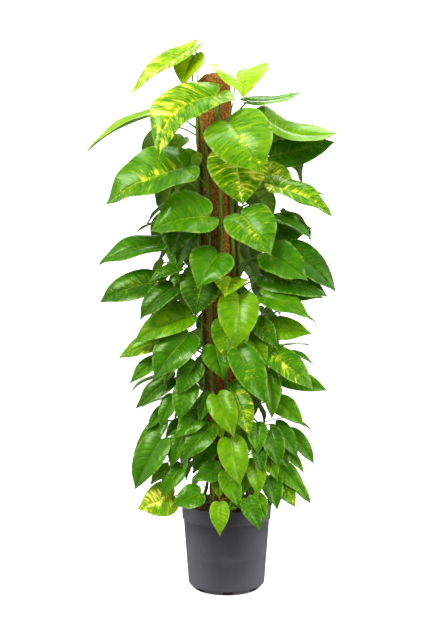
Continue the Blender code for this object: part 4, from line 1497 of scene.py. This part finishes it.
@dataclass
class NurseryPot:
    """The thin pot: a chamfered foot with drain slots, a tapering wall, and a collar with a rolled rim."""

    height: float = 0.248
    rim_radius: float = 0.1365
    collar_radius: float = 0.132
    collar_bottom: float = 0.204
    wall_top_radius: float = 0.1285
    wall_foot_radius: float = 0.1135
    foot_height: float = 0.015
    foot_radius: float = 0.099
    foot_hollow: float = 0.0012
    wall: float = 0.0022
    rim_roll: float = 0.004
    edge: float = 0.0012
    slots: int = 8
    slot_size: tuple[float, float, float] = (0.030, 0.019, 0.009)
    slot_turn: float = math.radians(2)
    slot_bottom: float = 0.003
    slot_round: float = 0.0032
    steps: int = 160

    def profile(self) -> list[Pair]:
        """Draw half the pot's section.

        Returns:
            Its points, from the middle of the foot up the outside and back down the inside.
        """
        wall, roll, edge, half = self.wall, self.rim_roll, self.edge, self.wall / 2
        lip = [
            (self.rim_radius - half * (1 - math.cos(turn)), self.height - half * (1 - math.sin(turn)))
            for turn in (math.radians(angle) for angle in range(0, 181, 30))
        ]
        line = self.collar_bottom * 0.5
        climb = (line - self.foot_height) / (self.collar_bottom - self.foot_height)
        middle = blend(self.wall_foot_radius, self.wall_top_radius, climb)
        return [
            (0, self.foot_hollow), (self.foot_radius - 0.006, self.foot_hollow),
            (self.foot_radius - 0.004, 0), (self.foot_radius - edge, 0),
            (self.foot_radius + edge * 0.7, edge * 0.7),
            (self.wall_foot_radius - edge * 0.8, self.foot_height - edge * 0.8),
            (self.wall_foot_radius, self.foot_height + edge),
            (middle - 0.0002, line - 0.002), (middle + 0.0003, line), (middle + 0.0002, line + 0.002),
            (self.wall_top_radius, self.collar_bottom - edge * 0.5),
            (self.wall_top_radius + edge, self.collar_bottom),
            (self.collar_radius - edge * 0.3, self.collar_bottom + 0.0006),
            (self.collar_radius, self.collar_bottom + edge + 0.0006),
            (self.rim_radius - half - edge, self.height - 1.6 * roll),
            (self.rim_radius - edge * 0.3, self.height - 1.25 * roll),
            (self.rim_radius, self.height - roll),
            *lip,
            (self.rim_radius - roll, self.height - 0.8 * roll),
            (self.collar_radius - wall, self.collar_bottom + 3 * wall),
            (self.wall_top_radius - wall, self.collar_bottom),
            (self.wall_foot_radius - wall, self.foot_height + 0.001),
            (self.foot_radius - 0.001, wall + 0.0006), (0, wall + 0.0006),
        ]

    def build(self, finish: Material) -> Object:
        """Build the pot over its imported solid.

        Args:
            finish: its material.

        Returns:
            The piece.
        """
        draft = Draft()
        draft.spin(self.profile(), self.steps)
        made = draft.piece("pot_moulding", [finish], "pot")
        self.cut_slots(made)
        return made

    def cut_slots(self, pot: Object) -> None:
        """Cut the rounded drain slots through the foot's edge.

        Args:
            pot: the pot.
        """
        cutters = bmesh.new()
        middle = (self.foot_radius + self.wall_foot_radius) / 2
        for number in range(self.slots):
            angle = math.tau * number / self.slots + self.slot_turn
            spot = outward(angle) * middle + UP * (self.slot_size[2] / 2 + self.slot_bottom)
            place = Matrix.Translation(spot) @ Matrix.Rotation(angle, 4, "Z")
            place @= Matrix.Diagonal((*self.slot_size, 1))
            made = bmesh.ops.create_cube(cutters, size=1, matrix=place)
            edges = dict.fromkeys(edge for vertex in made["verts"] for edge in vertex.link_edges)
            inward = [
                edge for edge in edges
                if abs((edge.verts[0].co - edge.verts[1].co).normalized().dot(outward(angle))) > 0.9
            ]
            bmesh.ops.bevel(
                cutters, geom=inward, offset=self.slot_round, offset_type="OFFSET", affect="EDGES",
                segments=4, profile=0.5, material=-1,
            )
        tool = placed("slots", mesh_of(cutters, "slots"))
        cut = pot.modifiers.new("Drain slots", "BOOLEAN")
        cut.operation = "DIFFERENCE"
        cut.object = tool
        with bpy.context.temp_override(object=pot, active_object=pot):
            bpy.ops.object.modifier_apply(modifier=cut.name)
        bpy.data.objects.remove(tool)


@dataclass
class PottingMix:
    """The mounded soil and the crumbs on it."""

    pot: NurseryPot
    edge_height: float = 0.229
    middle_height: float = 0.240
    mound: Pair = (0.105, 0.034)
    inset: float = 0.0025
    floor_gap: float = 0.001
    spread: float = 0.0012
    steps: int = 150
    rings: int = 40
    ring_rise: float = 0.00001
    lumps: Pair = (0.0022, 60)
    grains: Pair = (0.0012, 240)
    crumbs: int = 620
    crumb_ring: float = 0.052
    crumb_sizes: Pair = (0.0012, 0.0048)

    def height(self, spot: Vector) -> float:
        """Tell the lumpy height of the soil at a spot.

        Args:
            spot: the spot.

        Returns:
            The height.
        """
        outer, inner = self.mound
        share = clamp((outer - spot.xy.length) / (outer - inner))
        mound = blend(self.edge_height, self.middle_height, share * share * (3 - 2 * share))
        lumps = self.lumps[0] * noise.noise(Vector((spot.x, spot.y, 0)) * self.lumps[1])
        grains = self.grains[0] * noise.noise(Vector((spot.x, spot.y, 3)) * self.grains[1])
        return mound + lumps + grains

    def build(self, finish: Material) -> Object:
        """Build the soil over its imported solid.

        Args:
            finish: its material.

        Returns:
            The piece.
        """
        pot, inset, gap = self.pot, self.inset, self.floor_gap
        rim = pot.wall_top_radius - inset + self.spread
        top = [
            (rim * (1 - index / self.rings), self.edge_height + self.ring_rise * index)
            for index in range(self.rings)
        ]
        profile = [
            (0, inset + gap), (pot.foot_radius - inset, inset + gap),
            (pot.wall_foot_radius - inset, pot.foot_height + gap),
            (pot.wall_top_radius - inset, pot.collar_bottom), *top, (0, self.edge_height + gap),
        ]
        draft = Draft()
        draft.spin(profile, self.steps)
        for vertex in draft.shape.verts:
            if vertex.co.z >= self.edge_height - 1e-4:
                vertex.co.z = self.height(vertex.co)
        self.scatter(draft)
        return draft.piece("soil_surface", [finish], "soil")

    def scatter(self, draft: Draft) -> None:
        """Drop crumbs and bark bits over the soil.

        Args:
            draft: the mesh that they join.
        """
        rng = random.Random(SEED)
        outer = self.pot.wall_top_radius - self.inset - 0.003
        for number in range(self.crumbs):
            radius = math.sqrt(rng.uniform(self.crumb_ring**2, outer**2))
            spot = outward(rng.uniform(0, math.tau)) * radius
            size = blend(*self.crumb_sizes, rng.random() ** 2.5)
            spot.z = self.height(spot) + size * 0.25
            scale = (size * rng.uniform(0.8, 1.8), size * rng.uniform(0.7, 1.2), size * 0.6, 1)
            turn = Matrix.Rotation(rng.uniform(0, math.tau), 4, "Z")
            turn @= Matrix.Rotation(rng.uniform(-0.5, 0.5), 4, "X")
            draft.lump(Matrix.Translation(spot) @ turn @ Matrix.Diagonal(scale), 0.7, number * 1.7, 0)


@dataclass
class CoirPole:
    """The coir wrap with its domed top, and loose fibres on it."""

    planting: Planting
    crown: float = 0.032
    sleeve_foot: float = 0.150
    bore: float = 0.0163
    bore_top: float = 1.4403
    steps: int = 132
    ring_gap: float = 0.0042
    dome_rings: int = 14
    lump_depth: float = 0.0026
    fibres: int = 2200
    fibre_radius: float = 0.00028
    fibre_points: int = 6
    fibre_lengths: Pair = (0.012, 0.040)
    fibre_lofts: Pair = (0.0002, 0.0016)

    def leaned(self, spot: Vector) -> Vector:
        """A point of the upright pole, leaned with it about the top of the soil."""
        pivot = UP * self.planting.soil_top
        return Matrix.Rotation(self.planting.pole_lean, 3, "Y") @ (spot - pivot) + pivot

    def roughened(self, spot: Vector, out: Vector) -> Vector:
        """Push a point of the wrap in or out by its matted lumps.

        Args:
            spot: the point.
            out: the way out of the wrap.

        Returns:
            The pushed point.
        """
        lump = noise.noise(Vector((spot.x, spot.y, spot.z * 0.7)) * 55)
        mat = noise.noise(Vector((spot.x, spot.y, spot.z * 0.5)) * 170 + Vector((7, 0, 0)))
        return spot + out * (self.lump_depth * (0.7 * lump + 0.55 * mat - 0.25))

    def build(self, mat: Material, loose: Material) -> list[Object]:
        """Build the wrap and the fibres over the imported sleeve.

        Args:
            mat: the wrap's material.
            loose: the fibres' material.

        Returns:
            The pieces.
        """
        radius, top = self.planting.pole_radius, self.planting.pole_top
        rings = round((top - self.sleeve_foot) / self.ring_gap)
        side = [(radius, blend(self.sleeve_foot, top, index / rings)) for index in range(rings)]
        turns = [math.pi / 2 * index / self.dome_rings for index in range(self.dome_rings)]
        dome = [(radius * math.cos(turn), top + self.crown * math.sin(turn)) for turn in turns]
        bore = [(0, self.bore_top), (self.bore, self.bore_top), (self.bore, self.sleeve_foot)]
        draft = Draft()
        draft.spin([*bore, *side, *dome, (0, top + self.crown)], self.steps)
        draft.shape.normal_update()
        for vertex in draft.shape.verts:
            if vertex.co.xy.length > self.bore * 1.5 or vertex.co.z > self.bore_top + 0.05:
                vertex.co = self.roughened(vertex.co, vertex.normal)
            vertex.co = self.leaned(vertex.co)
        return [draft.piece("coir_wrap", [mat], "coir_sleeve"), self.build_fibres(loose)]

    def skin(self, turn: float, height: float, lift: float) -> Vector:
        """Find a point on or above the upright wrap's skin, over the dome too.

        Args:
            turn: how far round it is.
            height: how high up, and past the top on over the dome.
            lift: how far above the skin.

        Returns:
            The point.
        """
        radius, top = self.planting.pole_radius, self.planting.pole_top
        climb = clamp((height - top) / (radius * math.pi / 2)) * math.pi / 2
        out = swung(outward(turn), UP, climb)
        level = min(height, top) + self.crown * math.sin(climb)
        spot = outward(turn) * radius * math.cos(climb) + UP * level
        return self.roughened(spot, out) + out * lift

    def build_fibres(self, finish: Material) -> Object:
        """Lay loose fibres every way over the wrap.

        Args:
            finish: their material.

        Returns:
            The piece.
        """
        rng = random.Random(SEED)
        draft = Draft()
        top = self.planting.pole_top + self.planting.pole_radius * 1.5
        last = self.fibre_points - 1
        for _ in range(self.fibres):
            turn, height = rng.uniform(0, math.tau), rng.uniform(self.planting.soil_top - 0.01, top)
            course, bend = rng.uniform(0, math.tau), rng.uniform(-2.2, 2.2)
            step = rng.uniform(*self.fibre_lengths) / last
            loft = rng.uniform(*self.fibre_lofts)
            line = []
            for index in range(self.fibre_points):
                share = index / last
                lift = loft * math.sin(math.pi * share) + 0.0001
                line.append(self.leaned(self.skin(turn, height, lift)))
                way = course + bend * share
                turn += math.cos(way) * step / self.planting.pole_radius
                height += math.sin(way) * step
            thick = self.fibre_radius * rng.uniform(0.6, 1.3)
            draft.tube(line, lambda share, thick=thick: thick, 3, 0, lambda spot: Vector())
        return draft.piece("coir_fibres", [finish])


# Studio


@dataclass
class Studio:
    """The pale floor, the soft lights and the camera."""

    distance: float = 2.60
    height: float = 0.80
    lens: float = 49.45
    shift: Pair = (-0.025357, 0.004437)
    floor_radius: float = 12.0
    ground: float = 0.32
    sky: float = 0.55
    walls: float = 0.90
    lights: tuple[tuple[str, tuple[float, float, float], float, float], ...] = (
        ("key", (-2.0, -3.3, 4.2), 1.9, 235), ("fill", (3.2, -2.2, 1.6), 1.8, 75),
        ("top", (0.3, 0.1, 4.2), 1.5, 70), ("back", (0.3, 2.8, 3.1), 2.2, 85),
    )

    def build(self) -> None:
        """Set everything that isn't the plant."""
        scene = bpy.context.scene
        scene.view_settings.view_transform = "Standard"
        self.build_floor()
        self.build_lights()
        self.build_sky()
        lens = bpy.data.cameras.new("camera")
        lens.lens, lens.sensor_width = self.lens, 36
        lens.shift_x, lens.shift_y = self.shift
        lens.dof.use_dof = False
        camera = placed("camera", lens)
        camera.location = (0, -self.distance, self.height)
        camera.rotation_euler = (math.pi / 2, 0, 0)
        scene.camera = camera

    def build_lights(self) -> None:
        """Hang the soft square lights, which face the plant: name, place, size and power in watts."""
        for name, place, size, power in self.lights:
            lamp = bpy.data.lights.new(name, "AREA")
            lamp.size, lamp.energy = size, power
            made = placed(name, lamp)
            made.location = place
            made.rotation_euler = (UP * self.height - Vector(place)).to_track_quat("-Z", "Y").to_euler()

    def build_sky(self) -> None:
        """White light from above and from both sides, with plain white seen behind the plant."""
        world = bpy.data.worlds.new("studio")
        shader = Shader(world)
        across, _, up = shader.parts(shader.node("ShaderNodeTexCoord", None, None, "Generated"))
        light = up.step(-0.3, 0.7, self.ground, self.sky) + abs(across).step(0.35, 0.9) * self.walls
        seen = shader.node("ShaderNodeLightPath", None, None, "Is Camera Ray")
        backdrop = world.node_tree.nodes["Background"]
        shader.feed(backdrop.inputs["Color"], (1, 1, 1, 1))
        shader.feed(backdrop.inputs["Strength"], light + seen * 2)
        bpy.context.scene.world = world

    def build_floor(self) -> None:
        """The round white floor, which isn't part of the object."""
        shape = bmesh.new()
        bmesh.ops.create_circle(shape, cap_ends=True, segments=96, radius=self.floor_radius)
        floor = placed("floor", mesh_of(shape, "floor"))
        floor.data.materials.append(FloorFinish().material())
        floor.visible_diffuse = floor.visible_glossy = False
        floor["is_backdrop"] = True


def main() -> None:
    """Dress the potted pothos, piece by piece."""
    logging.basicConfig(level=logging.INFO, format="%(name)s: %(message)s")
    cad_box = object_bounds()
    Studio().build()
    planting = Planting()
    pot = NurseryPot()
    pot.build(PlasticFinish().material())
    PottingMix(pot).build(SoilFinish().material())
    coir = CoirFinish()
    CoirPole(planting).build(coir.material("coir_mat", 0), coir.material("coir_strand", 0.06))
    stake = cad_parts["pole_stake"]
    stake.data.materials.clear()
    stake.data.materials.append(WoodFinish().material())
    lines = planting.stem_lines()
    leaves = planting.leaves(lines)
    finishes = [LeafFinish().material(), StemFinish().material()]
    fine = FineLeaf(cad_box)
    for number, line in enumerate(lines):
        mine = [leaf for leaf in leaves if leaf.vine == number]
        LOG.info("vine %d carries %d leaves", number + 1, len(mine))
        Vine(number, line, mine, planting, fine).build(finishes)
    boxes = {"cad": cad_box, "visual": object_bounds()}
    sizes = {name: [list(corner) for corner in box] for name, box in boxes.items()}


if __name__ == "__main__":
    main()
